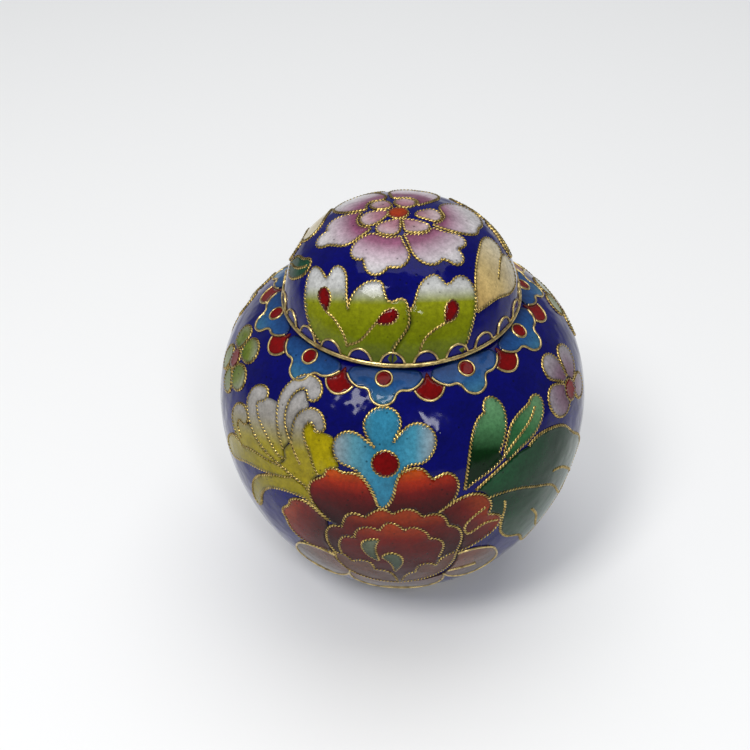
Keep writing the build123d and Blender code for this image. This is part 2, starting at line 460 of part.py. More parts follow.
            "fold": [(7.8, -0.1), (10.0, -0.4), (12.9, -1.0)],
            "_left_seam": [(-9.8, -0.9), (-11.0, 1.2), (-12.0, 2.8), (-12.2, 4.1)],
            "_middle_seam": [(7.1, -1.3), (4.8, -2.4), (1.8, -3.4), (-1.4, -3.8),
                             (-4.8, -3.5), (-7.6, -2.4), (-9.8, -0.9)],
            "_right_seam": [(7.1, -1.3), (8.4, 1.6), (9.1, 3.9), (9.4, 6.2)],
        },
        cells={"peony_foot_petals": [["left", "_left_seam"], ["middle", "_middle_seam"],
                                     ["right", "_right_seam"]]}),
    "leaf_spray": dict(
        surface="jar", azimuth=38, height=8.0, copies=2,
        wires={
            "upright_a": [(-11.9, -1.0), (-11.3, 1.2), (-10.5, 3.6), (-9.6, 5.8), (-8.6, 7.6),
                          (-7.4, 9.1), (-6.1, 10.0), (-5.1, 10.3)],
            "upright_b": [(-5.1, 10.3), (-4.6, 11.3), (-3.7, 12.0), (-2.5, 11.8),
                          (-1.7, 10.7), (-1.6, 9.2), (-2.1, 7.6), (-3.0, 5.9), (-4.0, 4.5),
                          (-4.9, 3.4)],
            "_upright_seam": [(-4.9, 3.4), (-4.4, 2.2)],
            "stem": [(-11.9, -1.0), (-10.4, -0.2), (-8.2, 0.6), (-6.2, 1.3), (-4.4, 2.2)],
            "midrib": [(-4.4, 2.2), (-2.6, 3.4), (-0.8, 4.3), (1.0, 5.1), (2.8, 6.0),
                       (4.6, 7.4)],
            "slim_a": [(-4.1, 2.8), (-3.4, 4.0), (-2.5, 5.4), (-1.5, 6.6), (0.0, 7.5),
                       (1.8, 8.0), (3.5, 8.3)],
            "slim_b": [(3.5, 8.3), (4.6, 8.9), (5.8, 8.8), (6.5, 7.7), (6.2, 6.2),
                       (5.2, 4.9), (3.8, 3.9), (2.0, 3.1), (0.0, 2.6), (-1.9, 2.0),
                       (-3.8, 1.2)],
            "_slim_seam": [(-3.8, 1.2), (-4.1, 2.8)],
            "low_stem": [(-3.8, 1.2), (-6.0, 0.3), (-8.2, -0.8), (-10.1, -1.9)],
        },
        cells={"spray_leaves": [["upright_a", "upright_b", "_upright_seam", "-stem"],
                                ["slim_a", "slim_b", "_slim_seam"]]}),
    "big_leaves": dict(
        surface="jar", azimuth=52, height=-6.0, copies=2,
        wires={
            "curl": [(-7.0, 15.3), (-5.5, 15.9), (-3.2, 16.0), (-0.8, 15.5), (1.5, 14.6),
                     (3.5, 13.1), (4.9, 11.4), (6.5, 9.5), (8.5, 7.6), (10.2, 5.5),
                     (11.6, 3.2)],
            "tip": [(11.6, 3.2), (12.4, 0.8), (12.3, -1.8), (11.0, -4.2), (8.8, -5.8),
                    (6.2, -6.0)],
            "between": [(-15.8, 8.9), (-13.6, 9.0), (-11.4, 8.7), (-9.2, 8.0), (-7.0, 6.9),
                        (-4.6, 5.6), (-2.4, 4.2), (-0.6, 2.5), (1.0, 0.4), (2.6, -2.0),
                        (4.4, -4.2), (6.2, -6.0)],
            "vein_1": [(-1.4, 6.8), (0.6, 6.0), (2.6, 4.6), (4.6, 2.6), (6.6, 0.4),
                       (8.6, -2.2)],
            "low_curl": [(-12.9, 7.0), (-12.8, 5.4), (-13.0, 3.4), (-13.1, 1.4)],
            "low_edge": [(-13.1, 1.4), (-12.9, -0.6), (-12.1, -2.4), (-10.8, -4.0),
                         (-9.0, -5.2), (-7.2, -6.6), (-6.0, -8.2), (-5.0, -10.0),
                         (-3.8, -11.8), (-2.0, -13.4), (-0.2, -14.2)],
            "low_tip": [(-0.2, -14.2), (2.4, -13.0), (4.6, -10.8), (5.8, -8.4), (6.2, -6.0)],
            "vein_2": [(-6.2, 0.6), (-5.2, -0.8), (-4.2, -2.4), (-3.4, -4.2), (-2.6, -6.4),
                       (-1.4, -8.6)],
            "_stem_seam": [(-17.3, 11.0), (-15.0, 12.7), (-12.8, 13.9), (-10.6, 14.8),
                           (-8.8, 15.2), (-7.0, 15.3)],
            "_peony_seam": [(-15.8, 8.9), (-16.2, 10.0), (-17.3, 11.0)],
            "_low_seam": [(-15.8, 8.9), (-15.5, 7.2), (-15.9, 6.0), (-15.0, 5.0),
                          (-14.0, 4.2), (-13.4, 3.0), (-13.1, 1.4)],
        },
        cells={"big_leaf_enamel": [["_stem_seam", "curl", "tip", "-between", "_peony_seam"],
                                   ["between", "-low_tip", "-low_edge", "-_low_seam"]]}),
    "scroll_leaf": dict(
        surface="jar", azimuth=-38, height=12.0, copies=2,
        wires={
            "hook_a": [(0.3, -1.9), (-0.5, -0.9), (-1.4, 0.4), (-2.2, 1.8), (-2.9, 3.3),
                       (-3.4, 5.0)],
            "hook_b": [(-3.4, 5.0), (-3.5, 6.7), (-3.0, 8.4), (-2.0, 9.9), (-0.6, 10.9),
                       (1.0, 11.1), (2.4, 10.7), (3.4, 9.6), (3.3, 8.3), (2.5, 7.7)],
            "hook_c": [(2.5, 7.7), (1.7, 7.9), (1.1, 8.6), (0.3, 8.9), (-0.6, 8.4),
                       (-1.2, 7.2), (-1.4, 5.6), (-1.2, 4.0), (-0.7, 2.6), (0.2, 1.3),
                       (1.3, 0.2)],
            "long": [(1.3, 0.2), (2.2, -0.9), (3.1, -2.0), (4.1, -3.0)],
            "crook_a": [(1.6, 0.0), (1.2, 1.8), (1.0, 3.4), (1.3, 5.0), (2.2, 6.2),
                        (3.6, 6.8), (5.0, 6.6), (6.1, 5.7), (6.6, 4.6), (6.1, 3.8),
                        (5.3, 3.7)],
            "crook_b": [(5.3, 3.7), (4.6, 4.4), (3.8, 4.6), (3.3, 3.8), (3.3, 2.6),
                        (4.0, 1.4), (4.9, 0.3), (5.7, -0.9), (6.5, -2.2), (7.6, -3.5)],
            "frond_a": [(-6.1, 4.7), (-6.4, 5.6), (-7.3, 6.0), (-8.5, 5.8), (-9.7, 5.0),
                        (-10.4, 3.7), (-10.5, 2.2), (-9.9, 0.7), (-8.8, -0.8),
                        (-7.4, -2.1), (-5.8, -3.2), (-4.0, -4.1), (-2.2, -4.6),
                        (-0.4, -4.9)],
            "frond_b": [(-6.1, 4.7), (-6.7, 3.9), (-7.5, 3.4), (-7.9, 2.7)],
            "frond_c": [(-7.9, 2.7), (-7.2, 1.6), (-6.2, 0.5), (-5.0, -0.4), (-3.7, -1.3),
                        (-2.5, -2.2), (-1.3, -3.0), (0.0, -3.5), (1.0, -3.2)],
            "rail_a": [(-0.4, -4.9), (1.0, -5.4), (2.6, -5.9), (4.2, -6.3), (5.6, -6.9),
                       (6.4, -7.5)],
            "curl": [(-9.5, -1.9), (-9.3, -0.7), (-10.0, 0.4), (-11.3, 0.8), (-12.8, 0.4),
                     (-13.9, -0.7), (-14.4, -2.2), (-14.1, -3.7), (-13.1, -5.0),
                     (-11.8, -5.9), (-10.0, -6.6)],
            "curl_in": [(-9.5, -1.9), (-10.6, -2.3), (-11.7, -2.2), (-12.2, -3.1),
                        (-11.7, -4.2), (-10.7, -5.3)],
            "rail_b": [(-10.0, -6.6), (-7.6, -5.9), (-5.2, -5.6), (-2.8, -5.5),
                       (-0.8, -5.3), (0.8, -5.4)],
            "blade": [(-10.0, -6.6), (-12.0, -6.0), (-14.2, -6.6), (-16.0, -8.2),
                      (-16.5, -10.0), (-15.4, -11.2), (-13.6, -11.2), (-11.6, -10.5)],
            "rail_c": [(-11.6, -10.5), (-9.8, -9.7), (-7.6, -9.1), (-5.0, -8.6),
                       (-2.4, -8.0), (-0.2, -7.4), (1.4, -6.8), (2.7, -6.2)],
            "heel": [(-1.0, -7.7), (-3.0, -8.8), (-4.9, -10.0), (-6.3, -11.3),
                     (-7.5, -13.1), (-8.2, -15.2), (-8.3, -17.2), (-7.5, -18.3),
                     (-6.5, -17.6), (-5.8, -16.0)],
            "rail_d": [(-5.8, -16.0), (-5.0, -14.0), (-3.8, -12.4), (-2.2, -11.1),
                       (-0.2, -10.2), (2.0, -9.6), (4.0, -9.3), (5.6, -9.3), (7.0, -9.9),
                       (8.4, -11.0), (9.6, -12.0)],
            "_hook_seam": [(1.3, 0.2), (0.3, -1.9)],
            "_gap": [(1.5, 0.2), (0.4, 1.5), (-0.5, 2.8), (-1.0, 4.1), (-1.2, 5.6),
                     (-1.0, 7.0), (-0.4, 8.1), (0.4, 8.6), (1.1, 8.2), (1.7, 7.6),
                     (2.3, 7.1), (2.5, 6.5), (1.8, 5.9), (1.1, 4.9), (0.9, 3.4),
                     (1.1, 1.8), (1.5, 0.2)],
            "_base_right": [(7.6, -3.5), (6.9, -4.6), (6.5, -6.0), (6.4, -7.5)],
            "_base_left": [(-0.4, -4.9), (0.6, -4.2), (1.0, -3.2), (0.6, -2.2), (0.9, -1.0),
                           (1.6, 0.0)],
            "_yellow": [(7.7, -3.4), (6.6, -2.2), (5.8, -0.9), (5.0, 0.3), (4.1, 1.4),
                        (3.4, 2.6), (3.4, 3.8), (4.0, 4.5), (5.2, 3.8), (6.2, 3.8),
                        (7.4, 4.0), (8.6, 3.7), (8.9, 2.4), (9.4, 1.0), (10.3, 0.2),
                        (10.7, -0.6), (9.8, -1.2), (9.0, -1.8), (8.5, -2.9), (7.7, -3.4)],
            "_frond_seam": [(-0.4, -4.9), (0.5, -4.2), (1.0, -3.2)],
            "_pale_foot": [(1.0, -3.2), (0.7, -2.5), (0.3, -1.9)],
            "_pale_top": [(-3.4, 5.0), (-4.4, 5.0), (-5.4, 4.9), (-6.1, 4.7)],
            "_curl_cell": [(-9.4, -1.6), (-9.4, -0.6), (-10.1, 0.4), (-11.3, 0.8),
                           (-12.8, 0.4), (-13.9, -0.7), (-14.4, -2.2), (-14.1, -3.7),
                           (-13.1, -5.0), (-11.8, -5.9), (-10.0, -6.5), (-7.6, -6.0),
                           (-5.2, -5.6), (-2.8, -5.5), (-0.7, -5.3), (-1.3, -4.8),
                           (-4.0, -4.2), (-5.8, -3.3), (-7.4, -2.2), (-8.6, -1.5),
                           (-9.4, -1.6)],
            "_blade_seam": [(2.7, -6.2), (1.8, -5.7), (0.8, -5.4)],
            "_heel_seam": [(9.6, -12.0), (8.1, -10.2), (7.0, -8.9), (6.4, -7.5)],
            "_heel_top": [(6.4, -7.5), (5.4, -6.9), (4.0, -6.4), (2.7, -6.2), (1.2, -6.9),
                          (-1.0, -7.7)],
        },
        cells={"scroll_leaf_enamel": [
            ["hook_a", "hook_b", "hook_c", "_hook_seam"], ["_gap"],
            ["crook_a", "crook_b", "_base_right", "-rail_a", "_base_left"], ["_yellow"],
            ["frond_a", "_frond_seam", "-frond_c", "-frond_b"],
            ["frond_c", "_pale_foot", "hook_a", "_pale_top", "frond_b"],
            ["_curl_cell"], ["blade", "rail_c", "_blade_seam", "-rail_b"],
            ["heel", "rail_d", "_heel_seam", "_heel_top"]]}),
    "pink_blossom": dict(
        surface="jar", azimuth=62, height=14.0, copies=2,
        wires={
            "heart": ring(2.1, -2.4, 1.85),
            "left": [(0.8, -0.4), (0.0, 0.3), (-1.0, 0.9), (-2.2, 1.4), (-3.4, 1.3),
                     (-4.5, 0.5), (-5.1, -0.8), (-4.9, -2.3), (-4.1, -3.7), (-2.9, -4.5),
                     (-1.5, -4.8), (-0.2, -4.5), (0.7, -3.9)],
            "_left_seam": [(0.7, -3.9), (0.1, -2.9), (0.2, -1.6), (0.8, -0.4)],
            "top": [(1.1, -0.1), (0.2, 0.8), (-1.0, 1.8), (-1.9, 3.0), (-1.8, 4.4),
                    (-0.9, 5.5), (0.5, 5.9), (1.9, 5.4), (2.8, 4.1), (2.9, 2.5), (2.7, 1.2),
                    (2.5, -0.2)],
            "_top_seam": [(2.5, -0.2), (1.1, -0.1)],
            "right": [(2.9, -0.2), (3.3, 1.4), (3.8, 3.1), (5.2, 4.4), (6.9, 4.1),
                      (8.1, 2.7), (8.2, 0.9), (7.2, -0.6), (5.7, -1.5), (4.0, -1.7)],
            "_right_seam": [(4.0, -1.7), (3.6, -0.8), (2.9, -0.2)],
            "low": [(4.2, -2.2), (5.8, -2.1), (7.6, -2.4), (8.7, -3.7), (8.4, -5.4),
                    (7.0, -6.4), (5.2, -6.2), (4.0, -5.2), (3.4, -4.0)],
            "_low_seam": [(3.4, -4.0), (4.0, -3.2), (4.2, -2.2)],
        },
        cells={"pink_blossom_petals": [["left", "_left_seam"], ["top", "_top_seam"],
                                       ["right", "_right_seam"], ["low", "_low_seam"]],
               "pink_blossom_hearts": [["heart"]]},
        cut={"pink_blossom_petals": "pink_blossom_hearts"}),
    "green_blossom": dict(
        surface="jar", azimuth=-66, height=14.0, copies=2,
        wires={
            "heart": ring(-5.2, 1.4, 1.7),
            "right": [(-3.4, 0.6), (-2.6, 1.8), (-1.2, 2.4), (0.4, 2.2), (1.5, 1.1),
                      (1.6, -0.4), (0.7, -1.5), (-0.8, -2.0), (-2.3, -1.6), (-3.4, 0.6)],
            "top": [(-4.1, 3.1), (-4.8, 4.7), (-4.4, 6.2), (-3.0, 7.0), (-1.4, 6.9),
                    (-0.1, 5.9), (0.1, 4.5), (-0.8, 3.4), (-2.3, 3.0), (-4.1, 3.1)],
            "back": [(-6.0, 3.2), (-5.4, 5.0), (-6.0, 6.5), (-7.6, 6.8), (-9.2, 6.0),
                     (-9.7, 4.4), (-9.0, 3.0), (-7.6, 2.7), (-6.0, 3.2)],
            "left": [(-7.2, 1.3), (-8.8, 1.7), (-10.3, 0.8), (-10.8, -1.0), (-10.0, -2.5),
                     (-8.4, -2.9), (-7.0, -2.0), (-6.6, -0.4), (-7.2, 1.3)],
            "low": [(-5.0, -0.6), (-6.1, -2.0), (-5.9, -3.7), (-4.4, -4.6), (-2.8, -4.4),
                    (-1.9, -3.2), (-2.6, -1.9), (-3.6, -1.0), (-5.0, -0.6)],
        },
        cells={"green_blossom_petals": [["right"], ["top"], ["back"], ["left"], ["low"]],
               "green_blossom_hearts": [["heart"]]}),
}


# ---------------------------------------------------------------- cutting wires and cells
def anchor(motif):
    """The plane that touches the surface at the motif's anchor; None means the lid's crown."""
    on_lid = motif["surface"] == "lid"
    if motif["height"] is None:
        return Plane((0, 0, LID_Z + LID_H), (1, 0, 0), (0, 0, 1))
    arcs = lid_arcs() if on_lid else jar_arcs()
    z = motif["height"] + (LID_Z if on_lid else BELLY_Z)
    step = 0.01
    slope = (radius_at(arcs, z + step) - radius_at(arcs, z - step)) / (2 * step)
    a, r = radians(motif["azimuth"]), radius_at(arcs, z)
    return Plane((r * sin(a), -r * cos(a), z), (cos(a), sin(a), 0), (sin(a), -cos(a), -slope))


def curve(points):
    """A straight, smooth or smooth closed edge through the points."""
    if len(points) == 2:
        return Line(*points)
    if points[0] == points[-1] or (Vector(*points[0]) - Vector(*points[-1])).length < 1e-6:
        return Spline(*points[:-1], periodic=True)
    return Spline(*points)


def cell_face(wires, names):
    """The flat outline of a cell."""
    edges = [curve(wires[name.lstrip("-")]) for name in names]
    return make_face(Wire(edges))


def wire_face(points):
    """The flat strip that a wire covers, seen along the anchor's normal."""
    line = curve(points)
    closed = line.is_closed
    count = 3 * len(points)
    sides = []
    for sign in (1, -1):
        side = []
        for k in range(count + (0 if closed else 1)):
            p, t = line @ (k / count), line % (k / count)
            side.append((p.X - sign * t.Y * WIRE_W / 2, p.Y + sign * t.X * WIRE_W / 2))
        sides.append(side)
    if closed:
        faces = [make_face(Wire([Spline(*side, periodic=True)])) for side in sides]
        faces.sort(key=lambda face: face.area)
        return faces[1] - faces[0]
    left, right = (Spline(*side) for side in sides)
    return make_face(Wire([left, right, Line(left @ 0, right @ 0), Line(left @ 1, right @ 1)]))


def prism(plane, face):
    """The face, pushed through the surface along the anchor's normal."""
    return extrude((plane * face).moved(Location(plane.z_dir * -CUT_BELOW)),
                   CUT_BELOW + CUT_ABOVE, dir=plane.z_dir)


def solids_of(shape):
    return shape.solids() if shape is not None else []


def cut_motif(motif, skins):
    """Wire solids, and cell solids by node name, for one copy of the motif."""
    plane, wires = anchor(motif), motif["wires"]
    wire_skin, cell_skin = skins[motif["surface"]]
    strips = []
    for name, points in wires.items():
        if not name.startswith("_"):
            strips += solids_of(prism(plane, wire_face(points)) & wire_skin)
    cells = {}
    for node, outlines in motif["cells"].items():
        cells[node] = []
        for names in outlines:
            cells[node] += solids_of(prism(plane, cell_face(wires, names)) & cell_skin)
    for node, cutter in motif.get("cut", {}).items():
        holes = cells[cutter]
        cells[node] = [piece for cell in cells[node] for piece in solids_of(cell - holes)]
    return strips, cells


def around(solids, count):
    """Copies of the solids, evenly turned about the jar's axis."""
    return [Rot(0, 0, 360 * k / count) * solid for k in range(count) for solid in solids]


def trimmed(solids, holes):
    return [piece for solid in solids for piece in solids_of(solid - holes)]


def decoration():
    skins = {
        "jar": (jar_solid(WIRE_RISE) - jar_solid(-WIRE_DEPTH),
                jar_solid(CELL_RISE) - jar_solid(0)),
        "lid": (lid_solid(WIRE_RISE, RIM_Z1) - lid_solid(-WIRE_DEPTH, RIM_Z1),
                lid_solid(CELL_RISE, RIM_Z1) - lid_solid(0, RIM_Z1)),
    }
    scallop = MOTIFS["scallop"]
    holes = around([prism(anchor(scallop), cell_face(scallop["wires"], ["arch", "_base"]))],
                   SCALLOPS)
    nodes = {}
    for name, motif in MOTIFS.items():
        strips, cells = cut_motif(motif, skins)
        if motif.get("clear_of_scallops"):
            strips = trimmed(strips, holes)
            cells = {node: trimmed(solids, holes) for node, solids in cells.items()}
        nodes[f"{name}_wires"] = around(strips, motif["copies"])
        for node, solids in cells.items():
            nodes[node] = around(solids, motif["copies"])
    return nodes


def main():
    os.makedirs("parts", exist_ok=True)
    nodes = {**jar_structure(), **lid_structure(), **decoration()}
    for name, shape in nodes.items():
        solids = shape if isinstance(shape, list) else shape.solids()
        compound = Compound(children=list(solids)) if len(solids) > 1 else solids[0]
        compound.label = name
        export_step(compound, f"parts/{name}.step")
        print(name, len(solids), round(sum(s.volume for s in solids), 2), flush=True)


main()
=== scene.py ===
"""Looks of the cloisonne ginger jar: fired enamel cells between gilt wires, on a cobalt coat.

Each motif is drawn in the plane that touches the surface at its anchor and is laid onto the
surface along the anchor's normal, as in the CAD model.  Drawing sizes are millimetres.
"""
import json
from math import asin, cos, degrees, pi, radians, sin, sqrt

import bpy
import numpy as np
from mathutils import Matrix, Vector, geometry


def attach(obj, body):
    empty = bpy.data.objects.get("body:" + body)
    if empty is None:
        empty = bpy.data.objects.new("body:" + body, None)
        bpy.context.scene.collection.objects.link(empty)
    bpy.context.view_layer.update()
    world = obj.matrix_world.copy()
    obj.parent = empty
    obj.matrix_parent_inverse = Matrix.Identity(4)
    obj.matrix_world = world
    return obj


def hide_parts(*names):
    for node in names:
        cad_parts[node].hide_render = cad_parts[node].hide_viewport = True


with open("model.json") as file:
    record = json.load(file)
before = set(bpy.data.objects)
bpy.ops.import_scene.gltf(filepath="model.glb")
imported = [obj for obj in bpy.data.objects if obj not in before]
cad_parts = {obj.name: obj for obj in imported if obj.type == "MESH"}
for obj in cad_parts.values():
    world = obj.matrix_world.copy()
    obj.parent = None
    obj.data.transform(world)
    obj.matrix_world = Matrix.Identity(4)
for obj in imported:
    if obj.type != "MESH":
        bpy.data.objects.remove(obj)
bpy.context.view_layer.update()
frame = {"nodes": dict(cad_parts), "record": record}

MM = 0.001

# Surface of the jar and of the lid: tangent arcs given outside the enamel
BELLY_Z, BELLY_R = 35.5, 34.5
UPPER_ARC, UPPER_TURN = 33.8, 15.1
SHOULDER_ARC = 20.8
LOWER_ARC, LOWER_TURN = 45.0, 30.0
FOOT_ARC = 33.0
LID_Z, LID_R, LID_H, LID_SIDE_ARC = BELLY_Z + 23.1, 20.86, 16.7, 15.5

# Wires and cells, measured out from the surface
PLAIN_W, WIRE_RISE, WIRE_SINK = 0.44, 0.34, 0.10
ROPE_R, ROPE_PITCH, ROPE_TWIST = 0.27, 1.3, 0.30
ROPE_SIDES, ROPE_STEPS = 8, 7  # points round a twisted wire, and along one pitch of it
PAINTED_GROOVE_LIGHT = 0.16                  # painted shade: the share of light left in the grooves of a twisted wire
CELL_RISE, MENISCUS, MENISCUS_W = 0.11, 0.13, 0.40
HEARTS_ABOVE = 0.05            # cells that lie on another cell
PAINTED_EDGE_SHADE, EDGE_W = 0.7, 0.22  # painted shade in the glass along its wires: how dark, and how wide
CELL_STEP, LINE_STEP = 0.5, 0.22
SKIRT = 0.3

# Laying a drawing on the surface: where its points start, how often they move, least slope
LAY_START, LAY_STEPS, LEAST_SLOPE = 4, 40, 0.2

# The ring round the lid's edge; what reaches below its top edge is tucked under the coat
RIM_Z, RIM_R, RIM_SIZE = LID_Z + 0.75, 20.85, 0.48
RIM_AROUND, RIM_SIDES = 240, 12
TUCK, TUCK_TOP = 0.5, RIM_Z + 0.1

# Repeats round the jar and the lid: how many, and the azimuth of the first in degrees
LAPPETS, FIRST_PENDANT = 10, 10.6
SCALLOPS, FIRST_SCALLOP = 24, -4.25
SCALLOP_HEIGHT = 1.5


# ---------------------------------------------------------------- surface
def jar_arcs():
    """Centre, radius, start and end angle of the belly's four tangent arcs, foot to neck."""
    cx = BELLY_R - UPPER_ARC
    turn = radians(UPPER_TURN)
    sx = cx + (UPPER_ARC - SHOULDER_ARC) * cos(turn)
    sz = (UPPER_ARC - SHOULDER_ARC) * sin(turn)
    lx, low = BELLY_R - LOWER_ARC, radians(LOWER_TURN)
    fx = lx + (LOWER_ARC - FOOT_ARC) * cos(low)
    fz = -(LOWER_ARC - FOOT_ARC) * sin(low)
    return [
        ((fx, BELLY_Z + fz), FOOT_ARC, -180, -LOWER_TURN),
        ((lx, BELLY_Z), LOWER_ARC, -LOWER_TURN, 0),
        ((cx, BELLY_Z), UPPER_ARC, 0, UPPER_TURN),
        ((sx, BELLY_Z + sz), SHOULDER_ARC, UPPER_TURN, 180),
    ]


def lid_arcs():
    """Centre, radius, start and end angle of the lid's two tangent arcs, edge to crown."""
    half = (LID_H - LID_SIDE_ARC) / (LID_R - LID_SIDE_ARC)
    turn = pi / 2 - 2 * asin(half / sqrt(1 + half * half))
    cx = LID_R - LID_SIDE_ARC
    crown = cx / cos(turn) + LID_SIDE_ARC
    cz = LID_Z + (LID_SIDE_ARC - crown) * sin(turn)
    return [((cx, LID_Z), LID_SIDE_ARC, -180, degrees(turn)), ((0, cz), crown, degrees(turn), 180)]


ARCS = {"jar": jar_arcs(), "lid": lid_arcs()}


def gap_and_normal(points, arcs):
    """How far each point is outside the surface, and which way the surface faces there."""
    rho = np.maximum(np.hypot(points[:, 0], points[:, 1]), 1e-9)
    gap, out, up = np.zeros(len(points)), np.zeros(len(points)), np.ones(len(points))
    for (cx, cz), r, a0, a1 in arcs:
        dx, dz = rho - cx, points[:, 2] - cz
        size = np.maximum(np.hypot(dx, dz), 1e-9)
        angle = np.degrees(np.arctan2(dz, dx))
        here = (angle >= a0) & (angle <= a1)
        gap = np.where(here, size - r, gap)
        out = np.where(here, dx / size, out)
        up = np.where(here, dz / size, up)
    normal = np.stack([points[:, 0] / rho * out, points[:, 1] / rho * out, up], axis=1)
    return gap, normal


def radius_at(arcs, z):
    """Outer radius of the surface at height z."""
    low, high = 0.0, 60.0
    for _ in range(50):
        middle = (low + high) / 2
        gap, _ = gap_and_normal(np.array([[middle, 0.0, z]]), arcs)
        low, high = (middle, high) if gap[0] < 0 else (low, middle)
    return (low + high) / 2


def anchor(motif):
    """Origin, right, up and outward vectors of the plane that touches the surface."""
    arcs = ARCS[motif["surface"]]
    if motif["height"] is None:
        return (np.array([0, 0, LID_Z + LID_H]), np.array([1.0, 0, 0]), np.array([0, 1.0, 0]),
                np.array([0, 0, 1.0]))
    z = motif["height"] + (LID_Z if motif["surface"] == "lid" else BELLY_Z)
    a, r = radians(motif["azimuth"]), radius_at(arcs, z)
    origin = np.array([r * sin(a), -r * cos(a), z])
    right = np.array([cos(a), sin(a), 0])
    outward = gap_and_normal(origin[None], arcs)[1][0]
    return origin, right, np.cross(outward, right), outward


def lay(motif, flat):
    """Points of the drawing laid on the surface, and the surface's normals there."""
    origin, right, up, outward = anchor(motif)
    arcs = ARCS[motif["surface"]]
    points = origin + flat[:, :1] * right + flat[:, 1:] * up + LAY_START * outward
    for _ in range(LAY_STEPS):
        gap, normal = gap_and_normal(points, arcs)
        points = points - (gap / np.maximum(normal @ outward, LEAST_SLOPE))[:, None] * outward
    return points, gap_and_normal(points, arcs)[1]


# ---------------------------------------------------------------- curves
def bends(knots, values, closed):
    """Second derivatives of the cubic spline through the values."""
    count = len(knots)
    step = np.diff(knots)
    matrix, right = np.eye(count), np.zeros((count, 2))
    for k in range(0 if closed else 1, count - 1):
        before = step[k - 1] if k else step[-1]
        last = values[k - 1] if k else values[-2]
        matrix[k, k] = 2 * (before + step[k])
        matrix[k, k + 1] = step[k]
        matrix[k, k - 1 if k else count - 2] = before
        right[k] = 6 * ((values[k + 1] - values[k]) / step[k] - (values[k] - last) / before)
    if closed:
        matrix[-1, 0] = -1
    return np.linalg.solve(matrix, right)


def curve(points, spacing=LINE_STEP):
    """Closely spaced points along the smooth line through the given ones."""
    values = np.array(points, float)
    knots = np.concatenate([[0], np.cumsum(np.hypot(*np.diff(values, axis=0).T))])
    count = max(int(knots[-1] / spacing), 2)
    at = np.linspace(0, knots[-1], count + 1)
    if len(points) == 2:
        return values[0] + (values[1] - values[0]) * (at / knots[-1])[:, None]
    closed = np.allclose(values[0], values[-1])
    second = bends(knots, values, closed)
    k = np.clip(np.searchsorted(knots, at, side="right") - 1, 0, len(knots) - 2)
    step = (knots[k + 1] - knots[k])[:, None]
    b = (at - knots[k])[:, None] / step
    a = 1 - b
    return (a * values[k] + b * values[k + 1]
            + ((a ** 3 - a) * second[k] + (b ** 3 - b) * second[k + 1]) * step ** 2 / 6)


# ---------------------------------------------------------------- motifs
def ring(cx, cy, r, count=12):
    """A closed round wire."""
    turn = [2 * pi * k / count for k in range(count + 1)]
    return [(cx + r * cos(a), cy + r * sin(a)) for a in turn]


def mirrored(half):
    """A wire that is symmetric about x = 0, from its points on the right, centre first."""
    return [(-x, y) for x, y in reversed(half[1:])] + half


# Each motif: surface, azimuth, height, copies, wires, cells.  A wire's name that starts with "_"
# closes a cell against its neighbour, where that neighbour's wire stands.  A cell is a list of
# wires in order, with "-" before one that runs backwards.
MOTIFS = {}

MOTIFS["lappet"] = dict(
    surface="jar", azimuth=FIRST_PENDANT + 18, height=20, copies=LAPPETS,
    wires={
        "edge": mirrored([(0, -0.6), (1, -0.35), (1.9, 0.5), (2.3, 1.6), (2.9, 2.15), (3.9, 2.25),
            (4.9, 2.7), (5.8, 3.6), (6.3, 4.6)]),
        "dot": ring(-0.1, 4, 1.35),
        "_rim": [(6.3, 4.6), (5.9, 5.4), (3.2, 5.9), (0, 6.1), (-3.2, 5.9), (-5.9, 5.4), (-6.3, 4.6)],
    },
    cells={
        "lappets": [["edge", "_rim"]],
        "lappet_dots": [["dot"]],
    })

MOTIFS["pendant"] = dict(
    surface="jar", azimuth=FIRST_PENDANT, height=20, copies=LAPPETS,
    wires={
        "bow": mirrored([(0, 0), (1, 0.25), (1.9, 0.95), (2.5, 2.05)]),
        "_sides": [(2.5, 2.05), (1.4, 2.7), (0.6, 3.6), (0, 4.8), (-0.6, 3.6), (-1.4, 2.7),
            (-2.5, 2.05)],
    },
    cells={
        "pendants": [["bow", "_sides"]],
    })

MOTIFS["scallop"] = dict(
    surface="lid", azimuth=FIRST_SCALLOP, height=SCALLOP_HEIGHT, copies=SCALLOPS,
    wires={
        "arch": mirrored([(0, 1.7), (0.8, 1.5), (1.6, 0.75), (2, -0.3)]),
        "_base": [(2, -0.3), (-2, -0.3)],
    },
    cells={
        "scallops": [["arch", "_base"]],
    })

